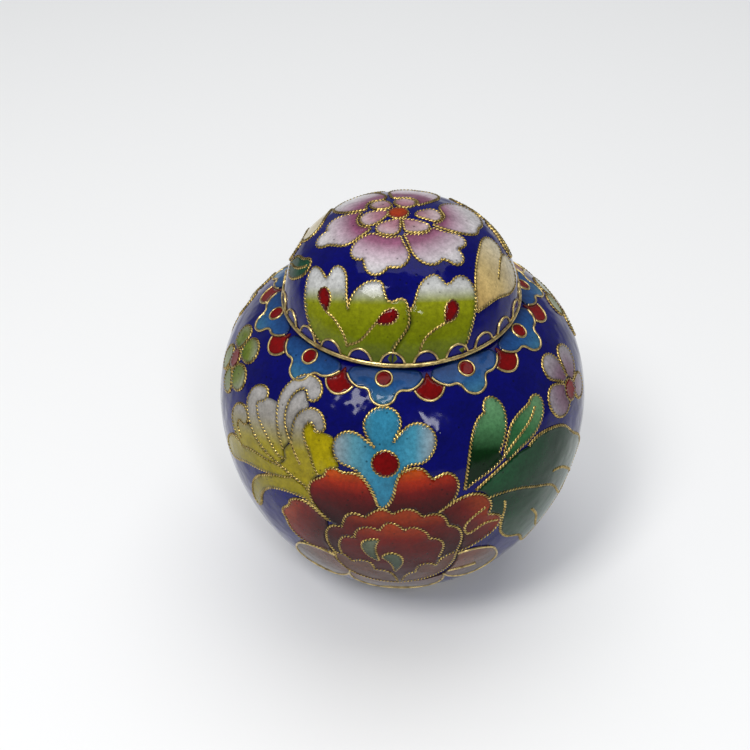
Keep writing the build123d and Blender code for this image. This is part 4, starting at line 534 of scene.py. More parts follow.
MOTIFS["scroll_leaf"] = dict(
    surface="jar", azimuth=-38, height=12, copies=2,
    wires={
        "hook_a": [(0.3, -1.9), (-0.5, -0.9), (-1.4, 0.4), (-2.2, 1.8), (-2.9, 3.3), (-3.4, 5)],
        "hook_b": [(-3.4, 5), (-3.5, 6.7), (-3, 8.4), (-2, 9.9), (-0.6, 10.9), (1, 11.1), (2.4, 10.7),
            (3.4, 9.6), (3.3, 8.3), (2.5, 7.7)],
        "hook_c": [(2.5, 7.7), (1.7, 7.9), (1.1, 8.6), (0.3, 8.9), (-0.6, 8.4), (-1.2, 7.2),
            (-1.4, 5.6), (-1.2, 4), (-0.7, 2.6), (0.2, 1.3), (1.3, 0.2)],
        "long": [(1.3, 0.2), (2.2, -0.9), (3.1, -2), (4.1, -3)],
        "crook_a": [(1.6, 0), (1.2, 1.8), (1, 3.4), (1.3, 5), (2.2, 6.2), (3.6, 6.8), (5, 6.6),
            (6.1, 5.7), (6.6, 4.6), (6.1, 3.8), (5.3, 3.7)],
        "crook_b": [(5.3, 3.7), (4.6, 4.4), (3.8, 4.6), (3.3, 3.8), (3.3, 2.6), (4, 1.4), (4.9, 0.3),
            (5.7, -0.9), (6.5, -2.2), (7.6, -3.5)],
        "frond_a": [(-6.1, 4.7), (-6.4, 5.6), (-7.3, 6), (-8.5, 5.8), (-9.7, 5), (-10.4, 3.7),
            (-10.5, 2.2), (-9.9, 0.7), (-8.8, -0.8), (-7.4, -2.1), (-5.8, -3.2), (-4, -4.1),
            (-2.2, -4.6), (-0.4, -4.9)],
        "frond_b": [(-6.1, 4.7), (-6.7, 3.9), (-7.5, 3.4), (-7.9, 2.7)],
        "frond_c": [(-7.9, 2.7), (-7.2, 1.6), (-6.2, 0.5), (-5, -0.4), (-3.7, -1.3), (-2.5, -2.2),
            (-1.3, -3), (0, -3.5), (1, -3.2)],
        "rail_a": [(-0.4, -4.9), (1, -5.4), (2.6, -5.9), (4.2, -6.3), (5.6, -6.9), (6.4, -7.5)],
        "curl": [(-9.5, -1.9), (-9.3, -0.7), (-10, 0.4), (-11.3, 0.8), (-12.8, 0.4), (-13.9, -0.7),
            (-14.4, -2.2), (-14.1, -3.7), (-13.1, -5), (-11.8, -5.9), (-10, -6.6)],
        "curl_in": [(-9.5, -1.9), (-10.6, -2.3), (-11.7, -2.2), (-12.2, -3.1), (-11.7, -4.2),
            (-10.7, -5.3)],
        "rail_b": [(-10, -6.6), (-7.6, -5.9), (-5.2, -5.6), (-2.8, -5.5), (-0.8, -5.3), (0.8, -5.4)],
        "blade": [(-10, -6.6), (-12, -6), (-14.2, -6.6), (-16, -8.2), (-16.5, -10), (-15.4, -11.2),
            (-13.6, -11.2), (-11.6, -10.5)],
        "rail_c": [(-11.6, -10.5), (-9.8, -9.7), (-7.6, -9.1), (-5, -8.6), (-2.4, -8), (-0.2, -7.4),
            (1.4, -6.8), (2.7, -6.2)],
        "heel": [(-1, -7.7), (-3, -8.8), (-4.9, -10), (-6.3, -11.3), (-7.5, -13.1), (-8.2, -15.2),
            (-8.3, -17.2), (-7.5, -18.3), (-6.5, -17.6), (-5.8, -16)],
        "rail_d": [(-5.8, -16), (-5, -14), (-3.8, -12.4), (-2.2, -11.1), (-0.2, -10.2), (2, -9.6),
            (4, -9.3), (5.6, -9.3), (7, -9.9), (8.4, -11), (9.6, -12)],
        "_hook_seam": [(1.3, 0.2), (0.3, -1.9)],
        "_gap": [(1.5, 0.2), (0.4, 1.5), (-0.5, 2.8), (-1, 4.1), (-1.2, 5.6), (-1, 7), (-0.4, 8.1),
            (0.4, 8.6), (1.1, 8.2), (1.7, 7.6), (2.3, 7.1), (2.5, 6.5), (1.8, 5.9), (1.1, 4.9),
            (0.9, 3.4), (1.1, 1.8), (1.5, 0.2)],
        "_base_right": [(7.6, -3.5), (6.9, -4.6), (6.5, -6), (6.4, -7.5)],
        "_base_left": [(-0.4, -4.9), (0.6, -4.2), (1, -3.2), (0.6, -2.2), (0.9, -1), (1.6, 0)],
        "_yellow": [(7.7, -3.4), (6.6, -2.2), (5.8, -0.9), (5, 0.3), (4.1, 1.4), (3.4, 2.6), (3.4, 3.8),
            (4, 4.5), (5.2, 3.8), (6.2, 3.8), (7.4, 4), (8.6, 3.7), (8.9, 2.4), (9.4, 1), (10.3, 0.2),
            (10.7, -0.6), (9.8, -1.2), (9, -1.8), (8.5, -2.9), (7.7, -3.4)],
        "_frond_seam": [(-0.4, -4.9), (0.5, -4.2), (1, -3.2)],
        "_pale_foot": [(1, -3.2), (0.7, -2.5), (0.3, -1.9)],
        "_pale_top": [(-3.4, 5), (-4.4, 5), (-5.4, 4.9), (-6.1, 4.7)],
        "_curl_cell": [(-9.4, -1.6), (-9.4, -0.6), (-10.1, 0.4), (-11.3, 0.8), (-12.8, 0.4),
            (-13.9, -0.7), (-14.4, -2.2), (-14.1, -3.7), (-13.1, -5), (-11.8, -5.9), (-10, -6.5),
            (-7.6, -6), (-5.2, -5.6), (-2.8, -5.5), (-0.7, -5.3), (-1.3, -4.8), (-4, -4.2),
            (-5.8, -3.3), (-7.4, -2.2), (-8.6, -1.5), (-9.4, -1.6)],
        "_blade_seam": [(2.7, -6.2), (1.8, -5.7), (0.8, -5.4)],
        "_heel_seam": [(9.6, -12), (8.1, -10.2), (7, -8.9), (6.4, -7.5)],
        "_heel_top": [(6.4, -7.5), (5.4, -6.9), (4, -6.4), (2.7, -6.2), (1.2, -6.9), (-1, -7.7)],
    },
    cells={
        "scroll_leaf_enamel": [["hook_a", "hook_b", "hook_c", "_hook_seam"], ["_gap"],
            ["crook_a", "crook_b", "_base_right", "-rail_a", "_base_left"], ["_yellow"],
            ["frond_a", "_frond_seam", "-frond_c", "-frond_b"],
            ["frond_c", "_pale_foot", "hook_a", "_pale_top", "frond_b"], ["_curl_cell"],
            ["blade", "rail_c", "_blade_seam", "-rail_b"],
            ["heel", "rail_d", "_heel_seam", "_heel_top"]],
    })

MOTIFS["pink_blossom"] = dict(
    surface="jar", azimuth=62, height=14, copies=2,
    wires={
        "heart": ring(2.1, -2.4, 1.85),
        "left": [(0.8, -0.4), (0, 0.3), (-1, 0.9), (-2.2, 1.4), (-3.4, 1.3), (-4.5, 0.5), (-5.1, -0.8),
            (-4.9, -2.3), (-4.1, -3.7), (-2.9, -4.5), (-1.5, -4.8), (-0.2, -4.5), (0.7, -3.9)],
        "_left_seam": [(0.7, -3.9), (0.1, -2.9), (0.2, -1.6), (0.8, -0.4)],
        "top": [(1.1, -0.1), (0.2, 0.8), (-1, 1.8), (-1.9, 3), (-1.8, 4.4), (-0.9, 5.5), (0.5, 5.9),
            (1.9, 5.4), (2.8, 4.1), (2.9, 2.5), (2.7, 1.2), (2.5, -0.2)],
        "_top_seam": [(2.5, -0.2), (1.1, -0.1)],
        "right": [(2.9, -0.2), (3.3, 1.4), (3.8, 3.1), (5.2, 4.4), (6.9, 4.1), (8.1, 2.7), (8.2, 0.9),
            (7.2, -0.6), (5.7, -1.5), (4, -1.7)],
        "_right_seam": [(4, -1.7), (3.6, -0.8), (2.9, -0.2)],
        "low": [(4.2, -2.2), (5.8, -2.1), (7.6, -2.4), (8.7, -3.7), (8.4, -5.4), (7, -6.4), (5.2, -6.2),
            (4, -5.2), (3.4, -4)],
        "_low_seam": [(3.4, -4), (4, -3.2), (4.2, -2.2)],
    },
    cells={
        "pink_blossom_petals": [["left", "_left_seam"], ["top", "_top_seam"], ["right", "_right_seam"],
            ["low", "_low_seam"]],
        "pink_blossom_hearts": [["heart"]],
    })

MOTIFS["green_blossom"] = dict(
    surface="jar", azimuth=-66, height=14, copies=2,
    wires={
        "heart": ring(-5.2, 1.4, 1.7),
        "right": [(-3.4, 0.6), (-2.6, 1.8), (-1.2, 2.4), (0.4, 2.2), (1.5, 1.1), (1.6, -0.4),
            (0.7, -1.5), (-0.8, -2), (-2.3, -1.6), (-3.4, 0.6)],
        "top": [(-4.1, 3.1), (-4.8, 4.7), (-4.4, 6.2), (-3, 7), (-1.4, 6.9), (-0.1, 5.9), (0.1, 4.5),
            (-0.8, 3.4), (-2.3, 3), (-4.1, 3.1)],
        "back": [(-6, 3.2), (-5.4, 5), (-6, 6.5), (-7.6, 6.8), (-9.2, 6), (-9.7, 4.4), (-9, 3),
            (-7.6, 2.7), (-6, 3.2)],
        "left": [(-7.2, 1.3), (-8.8, 1.7), (-10.3, 0.8), (-10.8, -1), (-10, -2.5), (-8.4, -2.9),
            (-7, -2), (-6.6, -0.4), (-7.2, 1.3)],
        "low": [(-5, -0.6), (-6.1, -2), (-5.9, -3.7), (-4.4, -4.6), (-2.8, -4.4), (-1.9, -3.2),
            (-2.6, -1.9), (-3.6, -1), (-5, -0.6)],
    },
    cells={
        "green_blossom_petals": [["right"], ["top"], ["back"], ["left"], ["low"]],
        "green_blossom_hearts": [["heart"]],
    })


# ---------------------------------------------------------------- colours
def line(a, b, *colours):
    """A cell's colour from a to b in its drawing, through evenly spaced sRGB colours."""
    return dict(a=a, b=b, colours=colours)


def disc(centre, r0, r1, *colours):
    """A cell's colour outwards from a centre, through evenly spaced sRGB colours."""
    return dict(centre=centre, r0=r0, r1=r1, colours=colours)


RED = line((0, 0), (0, 1), (150, 8, 10), (150, 8, 10))
FROND = line((1, -6), (-2.5, 7), (192, 172, 10), (196, 178, 44), (188, 182, 172), (214, 210, 208))
YELLOW = line((0, -12), (0, 0), (170, 154, 6), (206, 186, 12))
COLOURS = {
    "lappets": [line((0, -0.6), (0, 6), (76, 142, 176), (44, 100, 166), (30, 64, 130))],
    "lappet_dots": [RED],
    "pendants": [RED],
    "scallops": [line((0, 0), (0, 1), (16, 18, 138), (16, 18, 138))],
    "lid_flower_heart": [line((0, -1.6), (0, 1.6), (176, 44, 14), (206, 78, 24))],
    "lid_flower_inner_petals": [disc((-0.4, 0.1), 1.8, 6.2, (190, 112, 134), (206, 152, 166),
                                     (240, 214, 218))],
    "lid_flower_petals": [disc((-0.4, 0.1), 5.5, 12.6, (150, 64, 108), (172, 100, 136),
                               (226, 200, 214), (250, 244, 246))],
    "lotus_petals": [line((0, -6), (0, 7.5), (112, 128, 4), (128, 142, 4), (146, 156, 4),
                          (160, 168, 10), (168, 174, 24), (236, 236, 232), (246, 246, 246))],
    "lotus_buds": [RED],
    "cream_petals": [line((-5, 0), (9, 4), (250, 206, 118), (252, 222, 152), (248, 238, 210))],
    "lid_leaves": [line((-9, 1), (-2, 4), (18, 62, 42), (30, 92, 62))],
    "blue_flower_petals": [line((-9.3, 0), (7.4, 0), (190, 196, 202), (112, 184, 204),
                                (62, 158, 196), (62, 158, 196), (84, 174, 204), (190, 200, 206))],
    "blue_flower_hearts": [RED],
    "peony_crown_petals": [line((-4, -2), (-5, 9), (50, 4, 16), (68, 2, 10), (92, 4, 8), (130, 8, 4),
                                (200, 48, 0), (234, 100, 4))],
    "peony_bands": [line((0, -5), (0, 9), (50, 6, 18), (66, 4, 12), (90, 6, 8), (124, 16, 4),
                         (190, 68, 8))],
    "peony_faces": [line((0, -13), (0, 6.5), (74, 26, 48), (76, 8, 28), (92, 6, 12), (108, 8, 8),
                         (134, 20, 4), (208, 74, 6))],
    "peony_bowls": [line((0, -14), (0, -4), (104, 70, 62), (132, 80, 58))],
    "peony_commas": [line((0, -5), (0, 2), (80, 98, 78), (128, 138, 110))],
    "peony_side_petals": [
        line((8, 0), (16, 5), (64, 4, 14), (88, 6, 8), (130, 18, 6), (196, 72, 14)),
        line((-12, 0), (-21, 2), (66, 4, 14), (92, 8, 8), (134, 20, 8), (196, 72, 18))],
    "peony_foot_petals": [
        line((-10, 2), (-18, -6), (140, 80, 64), (128, 102, 92), (112, 110, 112)),
        line((0, -3), (0, -11), (128, 74, 60), (118, 98, 92), (110, 108, 110)),
        line((10, 4), (16, -6), (142, 76, 56), (128, 100, 90), (112, 110, 112))],
    "spray_leaves": [
        line((-8, 1), (-4, 11.5), (2, 44, 8), (4, 52, 12), (96, 160, 104),
             (124, 184, 130)),
        line((-4, 2), (6, 8), (20, 84, 40), (70, 138, 84), (130, 178, 128))],
    "big_leaf_enamel": [
        line((-12, 12), (11, -2), (22, 90, 50), (10, 62, 36), (18, 78, 46), (140, 178, 150)),
        line((-12, 6), (4, -12), (12, 66, 36), (22, 84, 50), (148, 182, 156))],
    "scroll_leaf_enamel": [FROND, FROND, FROND, YELLOW, FROND, FROND, FROND, YELLOW, YELLOW],
    "pink_blossom_petals": [disc((2.1, -2.4), 2, 7.5, (128, 76, 104), (164, 136, 154),
                                 (196, 188, 194))],
    "pink_blossom_hearts": [RED],
    "green_blossom_petals": [disc((-5.2, 1.4), 2, 7, (92, 120, 20), (134, 150, 56),
                                  (184, 188, 164))],
    "green_blossom_hearts": [RED],
}
DEPTH = 0.50                   # share of a recipe's light that the deep glass gives back


def linear(colour):
    """Linear-light colour from an sRGB one."""
    c = np.array(colour, float) / 255
    return np.where(c <= 0.04045, c / 12.92, ((c + 0.055) / 1.055) ** 2.4)


def tint(recipe, flat):
    """Colour at each point of the drawing."""
    if "centre" in recipe:
        reach = np.hypot(*(flat - np.array(recipe["centre"])).T)
        t = (reach - recipe["r0"]) / (recipe["r1"] - recipe["r0"])
    else:
        a, b = np.array(recipe["a"], float), np.array(recipe["b"], float)
        t = (flat - a) @ (b - a) / ((b - a) @ (b - a))
    colours = DEPTH * np.array([linear(c) for c in recipe["colours"]])
    at = np.linspace(0, 1, len(colours))
    return np.stack([np.interp(t, at, colours[:, k]) for k in range(3)], axis=1)


# ---------------------------------------------------------------- meshes
def mesh_object(name, node, verts, faces, material, colours=None):
    """A smooth piece that stands for a CAD node and rides on that node's body."""
    mesh = bpy.data.meshes.new(name)
    mesh.from_pydata((verts * MM).tolist(), [], faces)
    mesh.polygons.foreach_set("use_smooth", [True] * len(faces))
    if colours is not None:
        # The colours go in the attribute named enamel: on cells they hold painted shade along the
        # wires, on twisted wires painted shade in their grooves
        layer = mesh.color_attributes.new("enamel", "FLOAT_COLOR", "POINT")
        rgba = np.concatenate([colours, np.ones((len(colours), 1))], axis=1)
        layer.data.foreach_set("color", rgba.ravel())
    mesh.materials.append(material)
    mesh.validate()
    piece = bpy.data.objects.new(name, mesh)
    bpy.context.scene.collection.objects.link(piece)
    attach(piece, BODY_OF[node])
    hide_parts(node)
    return piece


def turned(points, k, count):
    """The points turned about the jar's axis to the k-th of the copies."""
    a = 2 * pi * k / count
    turn = np.array([[cos(a), -sin(a), 0], [sin(a), cos(a), 0], [0, 0, 1]])
    return points @ turn.T


def inside(points, outline):
    """Which points lie inside the closed outline."""
    x, y = points[:, 0], points[:, 1]
    result = np.zeros(len(points), bool)
    for (x0, y0), (x1, y1) in zip(outline, np.roll(outline, -1, axis=0)):
        if y0 != y1:
            crossing = (y0 > y) != (y1 > y)
            result ^= crossing & (x < (x1 - x0) * (y - y0) / (y1 - y0) + x0)
    return result


def outline_of(wires, names):
    """The closed outline of a cell, one point for each line step."""
    chain = []
    for name in names:
        points = curve(wires[name.lstrip("-")])
        chain.append(points[::-1][:-1] if name.startswith("-") else points[:-1])
    return np.concatenate(chain)


def fill(outline):
    """Points and triangles that fill the outline, and each point's distance to its edge."""
    low, high = outline.min(axis=0), outline.max(axis=0)
    xs = np.arange(low[0], high[0], CELL_STEP)
    ys = np.arange(low[1], high[1], CELL_STEP * 0.87)
    rows = [np.stack([xs + (CELL_STEP / 2) * (k % 2), np.full(len(xs), y)], axis=1)
            for k, y in enumerate(ys)]
    grid = np.concatenate(rows)
    away = np.array([np.hypot(*(outline - p).T).min() for p in grid])
    grid = grid[inside(grid, outline) & (away > CELL_STEP * 0.5)]
    points = np.concatenate([outline, grid])
    count = len(outline)
    edges = [(k, (k + 1) % count) for k in range(count)]
    result = geometry.delaunay_2d_cdt([Vector(p) for p in points], edges, [list(range(count))],
                                      1, 1e-5)
    flat = np.array([tuple(v) for v in result[0]])
    away = np.array([np.hypot(*(outline - p).T).min() for p in flat])
    return flat, [tuple(face) for face in result[2]], away


def border(faces):
    """Directed edges that belong to one face only."""
    seen = {}
    for face in faces:
        for a, b in zip(face, face[1:] + face[:1]):
            seen[(a, b)] = True
    return [(a, b) for a, b in seen if (b, a) not in seen]


def tucked(motif, points, normals):
    """The points, with those below the lid's ring moved under the coat."""
    under = (motif["surface"] == "lid") & (points[:, 2] < TUCK_TOP)
    return points - normals * (TUCK * under)[:, None]


def cell_mesh(motif, names, recipe, extra):
    """One enamel cell: slightly hollow between its wires, with a skirt that closes its edge."""
    flat, faces, away = fill(outline_of(motif["wires"], names))
    points, normals = lay(motif, flat)
    rise = CELL_RISE + extra + MENISCUS * np.exp(-away / MENISCUS_W)
    points = tucked(motif, points, normals)
    top = points + normals * rise[:, None]
    low = points - normals * SKIRT
    count = len(top)
    rim = border(faces)
    sides = [(b, a, a + count, b + count) for a, b in rim]
    floor = [tuple(k + count for k in reversed(face)) for face in faces]
    colours = tint(recipe, flat)
    # Painted shade: the glass is darkened close to its wires, as if they shaded it
    colours[:, :3] *= (1 - PAINTED_EDGE_SHADE * np.exp(-away / EDGE_W))[:, None]
    return np.concatenate([top, low]), faces + sides + floor, np.concatenate([colours, colours])


def join(parts):
    """One vertex array, face list and colour array from several."""
    verts, faces, colours, base = [], [], [], 0
    for part in parts:
        verts.append(part[0])
        faces += [tuple(k + base for k in face) for face in part[1]]
        colours.append(part[2])
        base += len(part[0])
    return np.concatenate(verts), faces, np.concatenate(colours)


def ribbon_section(along):
    """Half-round section of a plain wire: across and up, at each place along it."""
    shape = [(-0.5, -WIRE_SINK), (-0.46, 0.17), (-0.26, 0.31), (0, WIRE_RISE), (0.26, 0.31),
             (0.46, 0.17), (0.5, -WIRE_SINK)]
    ring_points = np.array([(x * PLAIN_W, y) for x, y in shape])
    return np.repeat(ring_points[None], len(along), axis=0), np.ones((len(along), len(shape)))


def rope_section(along):
    """Two-strand section of a twisted wire, which turns along it, with painted shade that darkens its
    grooves.
    """
    turn = np.linspace(0, 2 * pi, ROPE_SIDES, endpoint=False)[None]
    twist = (2 * pi * along / ROPE_PITCH)[:, None]
    strand = np.cos(2 * (turn - twist))
    size = ROPE_R * (1 + ROPE_TWIST * strand)
    middle = WIRE_RISE - ROPE_R * (1 + ROPE_TWIST)
    section = np.stack([size * np.cos(turn), size * np.sin(turn) + middle], axis=2)
    return section, PAINTED_GROOVE_LIGHT + (1 - PAINTED_GROOVE_LIGHT) * (1 + strand) / 2


def wire_mesh(motif, points, rope):
    """A wire laid on the surface."""
    path = curve(points, ROPE_PITCH / ROPE_STEPS if rope else LINE_STEP)
    closed = np.allclose(path[0], path[-1])
    if closed:
        path = path[:-1]
    on, normals = lay(motif, path)
    on = tucked(motif, on, normals)
    ahead = np.roll(on, -1, axis=0) - np.roll(on, 1, axis=0)
    if not closed:
        ahead[0], ahead[-1] = on[1] - on[0], on[-1] - on[-2]
    ahead /= np.linalg.norm(ahead, axis=1)[:, None]
    across = np.cross(ahead, normals)
    along = np.concatenate([[0], np.cumsum(np.linalg.norm(np.diff(on, axis=0), axis=1))])
    section, light = (rope_section if rope else ribbon_section)(along)
    sides = section.shape[1]
    verts = (on[:, None] + across[:, None] * section[:, :, :1]
             + normals[:, None] * section[:, :, 1:]).reshape(-1, 3)
    count = len(on)
    faces = []
    for k in range(count if closed else count - 1):
        here, there = k * sides, (k + 1) % count * sides
        for s in range(sides):
            e = (s + 1) % sides
            faces.append((here + s, there + s, there + e, here + e))
    if not closed:
        faces.append(tuple(range(sides)))
        faces.append(tuple(reversed(range((count - 1) * sides, count * sides))))
    # The last array is painted shade: darker in the grooves of twisted wires, all ones on plain ones
    return verts, faces, np.repeat(light.reshape(-1, 1), 3, axis=1)


def copies_of(part, count):
    """The part, repeated evenly round the jar's axis."""
    return [(turned(part[0], k, count), part[1], part[2]) for k in range(count)]


# ---------------------------------------------------------------- materials
# Texture scales, in cycles for each metre of the object
GRAIN, CLOUD, PITS, WAVE = 1500, 240, 520, 150
TARNISH, SCRATCHES = 900, 4000


def new_material(name):
    """A principled material, and helpers to add and link its nodes."""
    material = bpy.data.materials.new(name)
    material.use_nodes = True
    nodes, links = material.node_tree.nodes, material.node_tree.links
    return material, nodes, links, nodes["Principled BSDF"]


def texture(nodes, links, kind, **values):
    """A texture in the object's own coordinates."""
    place = nodes.new("ShaderNodeTexCoord")
    node = nodes.new(kind)
    for key, value in values.items():
        node.inputs[key.replace("_", " ")].default_value = value
    links.new(place.outputs["Object"], node.inputs["Vector"])
    return node


def spread(nodes, links, source, low, high, from_low=0.3, from_high=0.7):
    """The source's value, moved from one range to another."""
    node = nodes.new("ShaderNodeMapRange")
    for key, value in (("From Min", from_low), ("From Max", from_high), ("To Min", low),
                       ("To Max", high)):
        node.inputs[key].default_value = value
    links.new(source, node.inputs["Value"])
    return node.outputs["Result"]


def blend_colour(nodes, links, a, b, factor, mode="MIX"):
    """A mix of two colours; each input is a value or a socket."""
    node = nodes.new("ShaderNodeMix")
    node.data_type = "RGBA"
    node.blend_type = mode
    for socket, value in ((node.inputs["Factor"], factor), (node.inputs[6], a),
                          (node.inputs[7], b)):
        if isinstance(value, (int, float, tuple)):
            socket.default_value = value
        else:
            links.new(value, socket)
    return node.outputs[2]


def bump(nodes, links, height, strength, depth, under=None):
    """The normal that the height gives, on top of another normal if there is one."""
    node = nodes.new("ShaderNodeBump")
    node.inputs["Strength"].default_value = strength
    node.inputs["Distance"].default_value = depth * MM
    links.new(height, node.inputs["Height"])
    if under:
        links.new(under, node.inputs["Normal"])
    return node.outputs["Normal"]


def rgba(colour):
    """Shader colour from an sRGB one."""
    return (*linear(colour), 1)


def enamel(name, colour=None, waves=0.6):
    """Fired glass: grains of lighter and darker colour, a few pits, and a wavy polished face."""
    material, nodes, links, shader = new_material(name)
    if colour is None:
        # The cells' colours, which hold painted shade along their wires
        source = nodes.new("ShaderNodeAttribute")
        source.attribute_name = "enamel"
        base = source.outputs["Color"]
    else:
        base = rgba(colour)
    grain = texture(nodes, links, "ShaderNodeTexNoise", Scale=GRAIN, Detail=4, Roughness=0.7)
    cloud = texture(nodes, links, "ShaderNodeTexNoise", Scale=CLOUD, Detail=3)
    pits = texture(nodes, links, "ShaderNodeTexVoronoi", Scale=PITS)
    light = spread(nodes, links, grain.outputs["Fac"], 0.74, 1.26)
    patch = spread(nodes, links, cloud.outputs["Fac"], 0.84, 1.18)
    speck = spread(nodes, links, pits.outputs["Distance"], 0.35, 1.0, 0.05, 0.13)
    for shade in (light, patch, speck):
        base = blend_colour(nodes, links, base, shade, 1.0, "MULTIPLY")
    links.new(base, shader.inputs["Base Color"])
    wave = texture(nodes, links, "ShaderNodeTexNoise", Scale=WAVE, Detail=2)
    wavy = bump(nodes, links, wave.outputs["Fac"], waves, 0.5)
    links.new(bump(nodes, links, speck, 0.4, 0.05, wavy), shader.inputs["Normal"])
    gloss = spread(nodes, links, cloud.outputs["Fac"], 0.04, 0.11)
    links.new(gloss, shader.inputs["Roughness"])
    shader.inputs["IOR"].default_value = 1.45
    shader.inputs["Specular IOR Level"].default_value = 0.20
    return material


def gilt(name, colour, dark, roughness, painted_grooves=False):
    """Gilded copper with darker tarnish in patches and fine scratches, and for twisted wires painted
    shade in their grooves.
    """
    material, nodes, links, shader = new_material(name)
    tarnish = texture(nodes, links, "ShaderNodeTexNoise", Scale=TARNISH, Detail=4)
    fine = texture(nodes, links, "ShaderNodeTexNoise", Scale=SCRATCHES, Detail=2)
    amount = spread(nodes, links, tarnish.outputs["Fac"], 0.0, 0.8, 0.42, 0.68)
    mixed = blend_colour(nodes, links, rgba(colour), rgba(dark), amount)
    # Painted shade in the grooves of twisted wires, read from the attribute named enamel
    if painted_grooves:
        light = nodes.new("ShaderNodeAttribute")
        light.attribute_name = "enamel"
        mixed = blend_colour(nodes, links, mixed, light.outputs["Color"], 1.0, "MULTIPLY")
    links.new(mixed, shader.inputs["Base Color"])
    shader.inputs["Metallic"].default_value = 1.0
    rough = spread(nodes, links, tarnish.outputs["Fac"], roughness, roughness + 0.2)
    links.new(rough, shader.inputs["Roughness"])
    links.new(bump(nodes, links, fine.outputs["Fac"], 0.25, 0.03), shader.inputs["Normal"])
    return material


# ---------------------------------------------------------------- pieces
record = frame["record"]
BODY_OF = {node: body for body, nodes in record["behaviour"]["bodies"].items()
           for node in nodes}

PAINTED = enamel("painted_enamel")
COBALT = enamel("cobalt_enamel", (3, 4, 86), waves=1.0)
TURQUOISE = enamel("turquoise_enamel", (52, 124, 148))
ROPE_GILT = gilt("rope_gilt", (226, 196, 116), (112, 88, 40), 0.22, painted_grooves=True)
PLAIN_GILT = gilt("plain_gilt", (214, 190, 128), (104, 84, 48), 0.22)
COPPER = gilt("copper", (196, 120, 84), (120, 66, 44), 0.4)
PLAIN_WIRES = ("lappet", "pendant", "scallop", "peony_foot")
# Endings of the node names whose cells lie on another cell
RAISED_CELLS = ("hearts", "heart", "dots", "commas", "buds")


def build_motif(name, motif):
    """The wires of a motif as one piece, and one piece of glass for each kind of cell."""
    rope = name not in PLAIN_WIRES
    strands = []
    for wire, points in motif["wires"].items():
        if not wire.startswith("_"):
            strands += copies_of(wire_mesh(motif, points, rope), motif["copies"])
    # light is the painted shade for the grooves of twisted wires
    verts, faces, light = join(strands)
    mesh_object(f"{name}_rope" if rope else f"{name}_ribbon", f"{name}_wires", verts, faces,
                ROPE_GILT if rope else PLAIN_GILT, light)
    for node, outlines in motif["cells"].items():
        recipes = COLOURS[node]
        extra = HEARTS_ABOVE if node.endswith(RAISED_CELLS) else 0
        parts = []
        for k, names in enumerate(outlines):
            part = cell_mesh(motif, names, recipes[k % len(recipes)], extra)
            parts += copies_of(part, motif["copies"])
        # The cells' colours carry painted shade along their wires
        verts, faces, colours = join(parts)
        mesh_object(f"{node}_glass", node, verts, faces, PAINTED, colours)


def lid_ring():
    """The gilt ring round the lid's edge, a round wire that the enamel runs up to."""
    verts, faces = [], []
    for k in range(RIM_AROUND):
        turn, after = 2 * pi * k / RIM_AROUND, (k + 1) % RIM_AROUND
        for s in range(RIM_SIDES):
            a, beside = 2 * pi * s / RIM_SIDES, (s + 1) % RIM_SIDES
            r = RIM_R + RIM_SIZE * cos(a)
            verts.append((r * cos(turn), r * sin(turn), RIM_Z + RIM_SIZE * sin(a)))
            corners = ((k, s), (after, s), (after, beside), (k, beside))
            faces.append(tuple(i * RIM_SIDES + j for i, j in corners))
    mesh_object("lid_ring", "lid_rim_ring", np.array(verts), faces, PLAIN_GILT)


for name, motif in MOTIFS.items():
    build_motif(name, motif)
lid_ring()

# The CAD pieces that stay as they are and only get a material
CAD_LOOKS = {
    COBALT: ("ground_enamel", "lid_ground_enamel"),
    TURQUOISE: ("lining_enamel", "lid_lining", "base_enamel"),
    PLAIN_GILT: ("neck_collar", "foot_ring"),
    COPPER: ("body_shell", "lid_shell", "base_plate"),
}
for material, nodes in CAD_LOOKS.items():
    for node in nodes:
        slots = frame["nodes"][node].data.materials
        slots.clear()
        slots.append(material)


# ---------------------------------------------------------------- stage, light and camera
CENTRE = Vector((0, 0, BELLY_Z * MM))
VIEW_UP, VIEW_FAR, VIEW_ROLL = radians(40.7), 0.210, radians(-0.572)
FOCAL = 1.4572                 # focal length, in picture widths
SHIFT_X, SHIFT_Y = -0.0365, 0.0237
SENSOR = 36                    # the camera's sensor width in mm
CLIP_NEAR, CLIP_FAR = 0.01, 20
FLOOR_SIZE, FLOOR_Z = 30, -0.0002
FLOOR_COLOUR, SKY_COLOUR, SKY_STRENGTH = (240, 240, 240), (232, 236, 240), 0.34
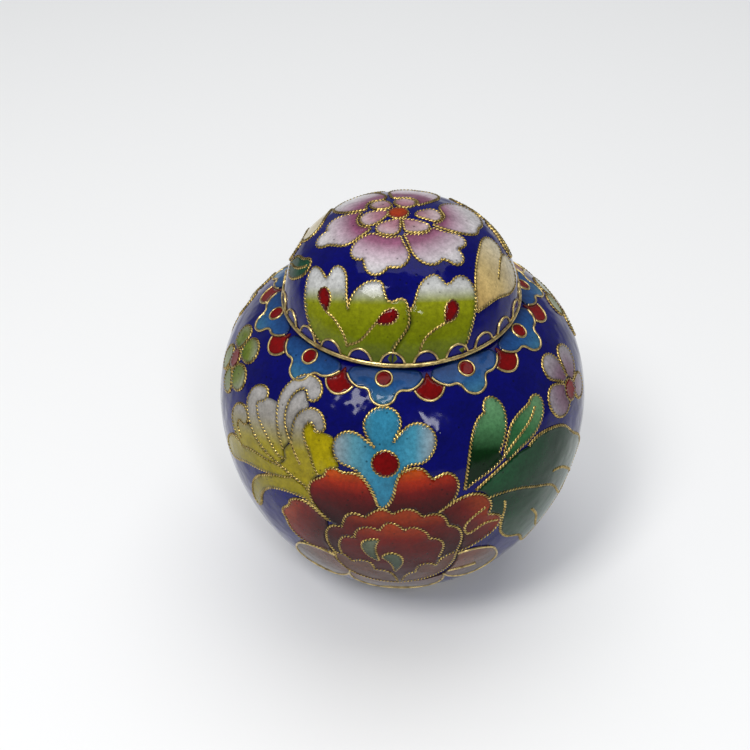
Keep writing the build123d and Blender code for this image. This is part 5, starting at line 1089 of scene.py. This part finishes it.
# Each light: place and size in metres, power in watts, colour
LIGHTS = {
    "window_left": ((-0.24, -0.26, 0.60), (0.16, 0.24), 2.0, (1.0, 0.99, 0.97)),
    "window_right": ((0.14, -0.42, 0.44), (0.07, 0.18), 0.8, (0.97, 0.98, 1.0)),
    "overhead": ((0.05, 0.30, 0.90), (1.0, 0.8), 4.2, (1, 1, 1)),
}


def stage():
    """The white floor that the jar stands on."""
    bpy.ops.mesh.primitive_plane_add(size=FLOOR_SIZE, location=(0, 0, FLOOR_Z))
    floor = bpy.context.object
    floor.name = "floor"
    material, _, _, shader = new_material("floor")
    shader.inputs["Base Color"].default_value = rgba(FLOOR_COLOUR)
    shader.inputs["Roughness"].default_value = 0.75
    floor.data.materials.append(material)


def soft_light(name, place, size, power, colour):
    """A rectangular light that faces the jar."""
    data = bpy.data.lights.new(name, "AREA")
    data.shape = "RECTANGLE"
    data.size, data.size_y = size
    data.energy = power
    data.color = colour
    light = bpy.data.objects.new(name, data)
    light.location = place
    light.rotation_euler = (CENTRE - Vector(place)).to_track_quat("-Z", "Y").to_euler()
    bpy.context.scene.collection.objects.link(light)


def camera():
    """The camera, in front of the jar and above it, rolled a little."""
    data = bpy.data.cameras.new("camera")
    data.sensor_width = SENSOR
    data.lens = FOCAL * data.sensor_width
    data.shift_x = SHIFT_X
    data.shift_y = SHIFT_Y
    data.clip_start, data.clip_end = CLIP_NEAR, CLIP_FAR
    eye = bpy.data.objects.new("camera", data)
    back = Vector((0, -cos(VIEW_UP), sin(VIEW_UP)))
    eye.location = CENTRE + back * VIEW_FAR
    look = back.to_track_quat("Z", "Y").to_matrix() @ Matrix.Rotation(VIEW_ROLL, 3, "Z")
    eye.rotation_euler = look.to_euler()
    bpy.context.scene.collection.objects.link(eye)
    bpy.context.scene.camera = eye


def sky():
    """Even, pale light from all round."""
    world = bpy.data.worlds.new("studio")
    world.use_nodes = True
    bpy.context.scene.world = world
    shade = world.node_tree.nodes["Background"]
    shade.inputs["Color"].default_value = rgba(SKY_COLOUR)
    shade.inputs["Strength"].default_value = SKY_STRENGTH


stage()
sky()
for name, light in LIGHTS.items():
    soft_light(name, *light)
camera()
bpy.context.scene.view_settings.view_transform = "Standard"
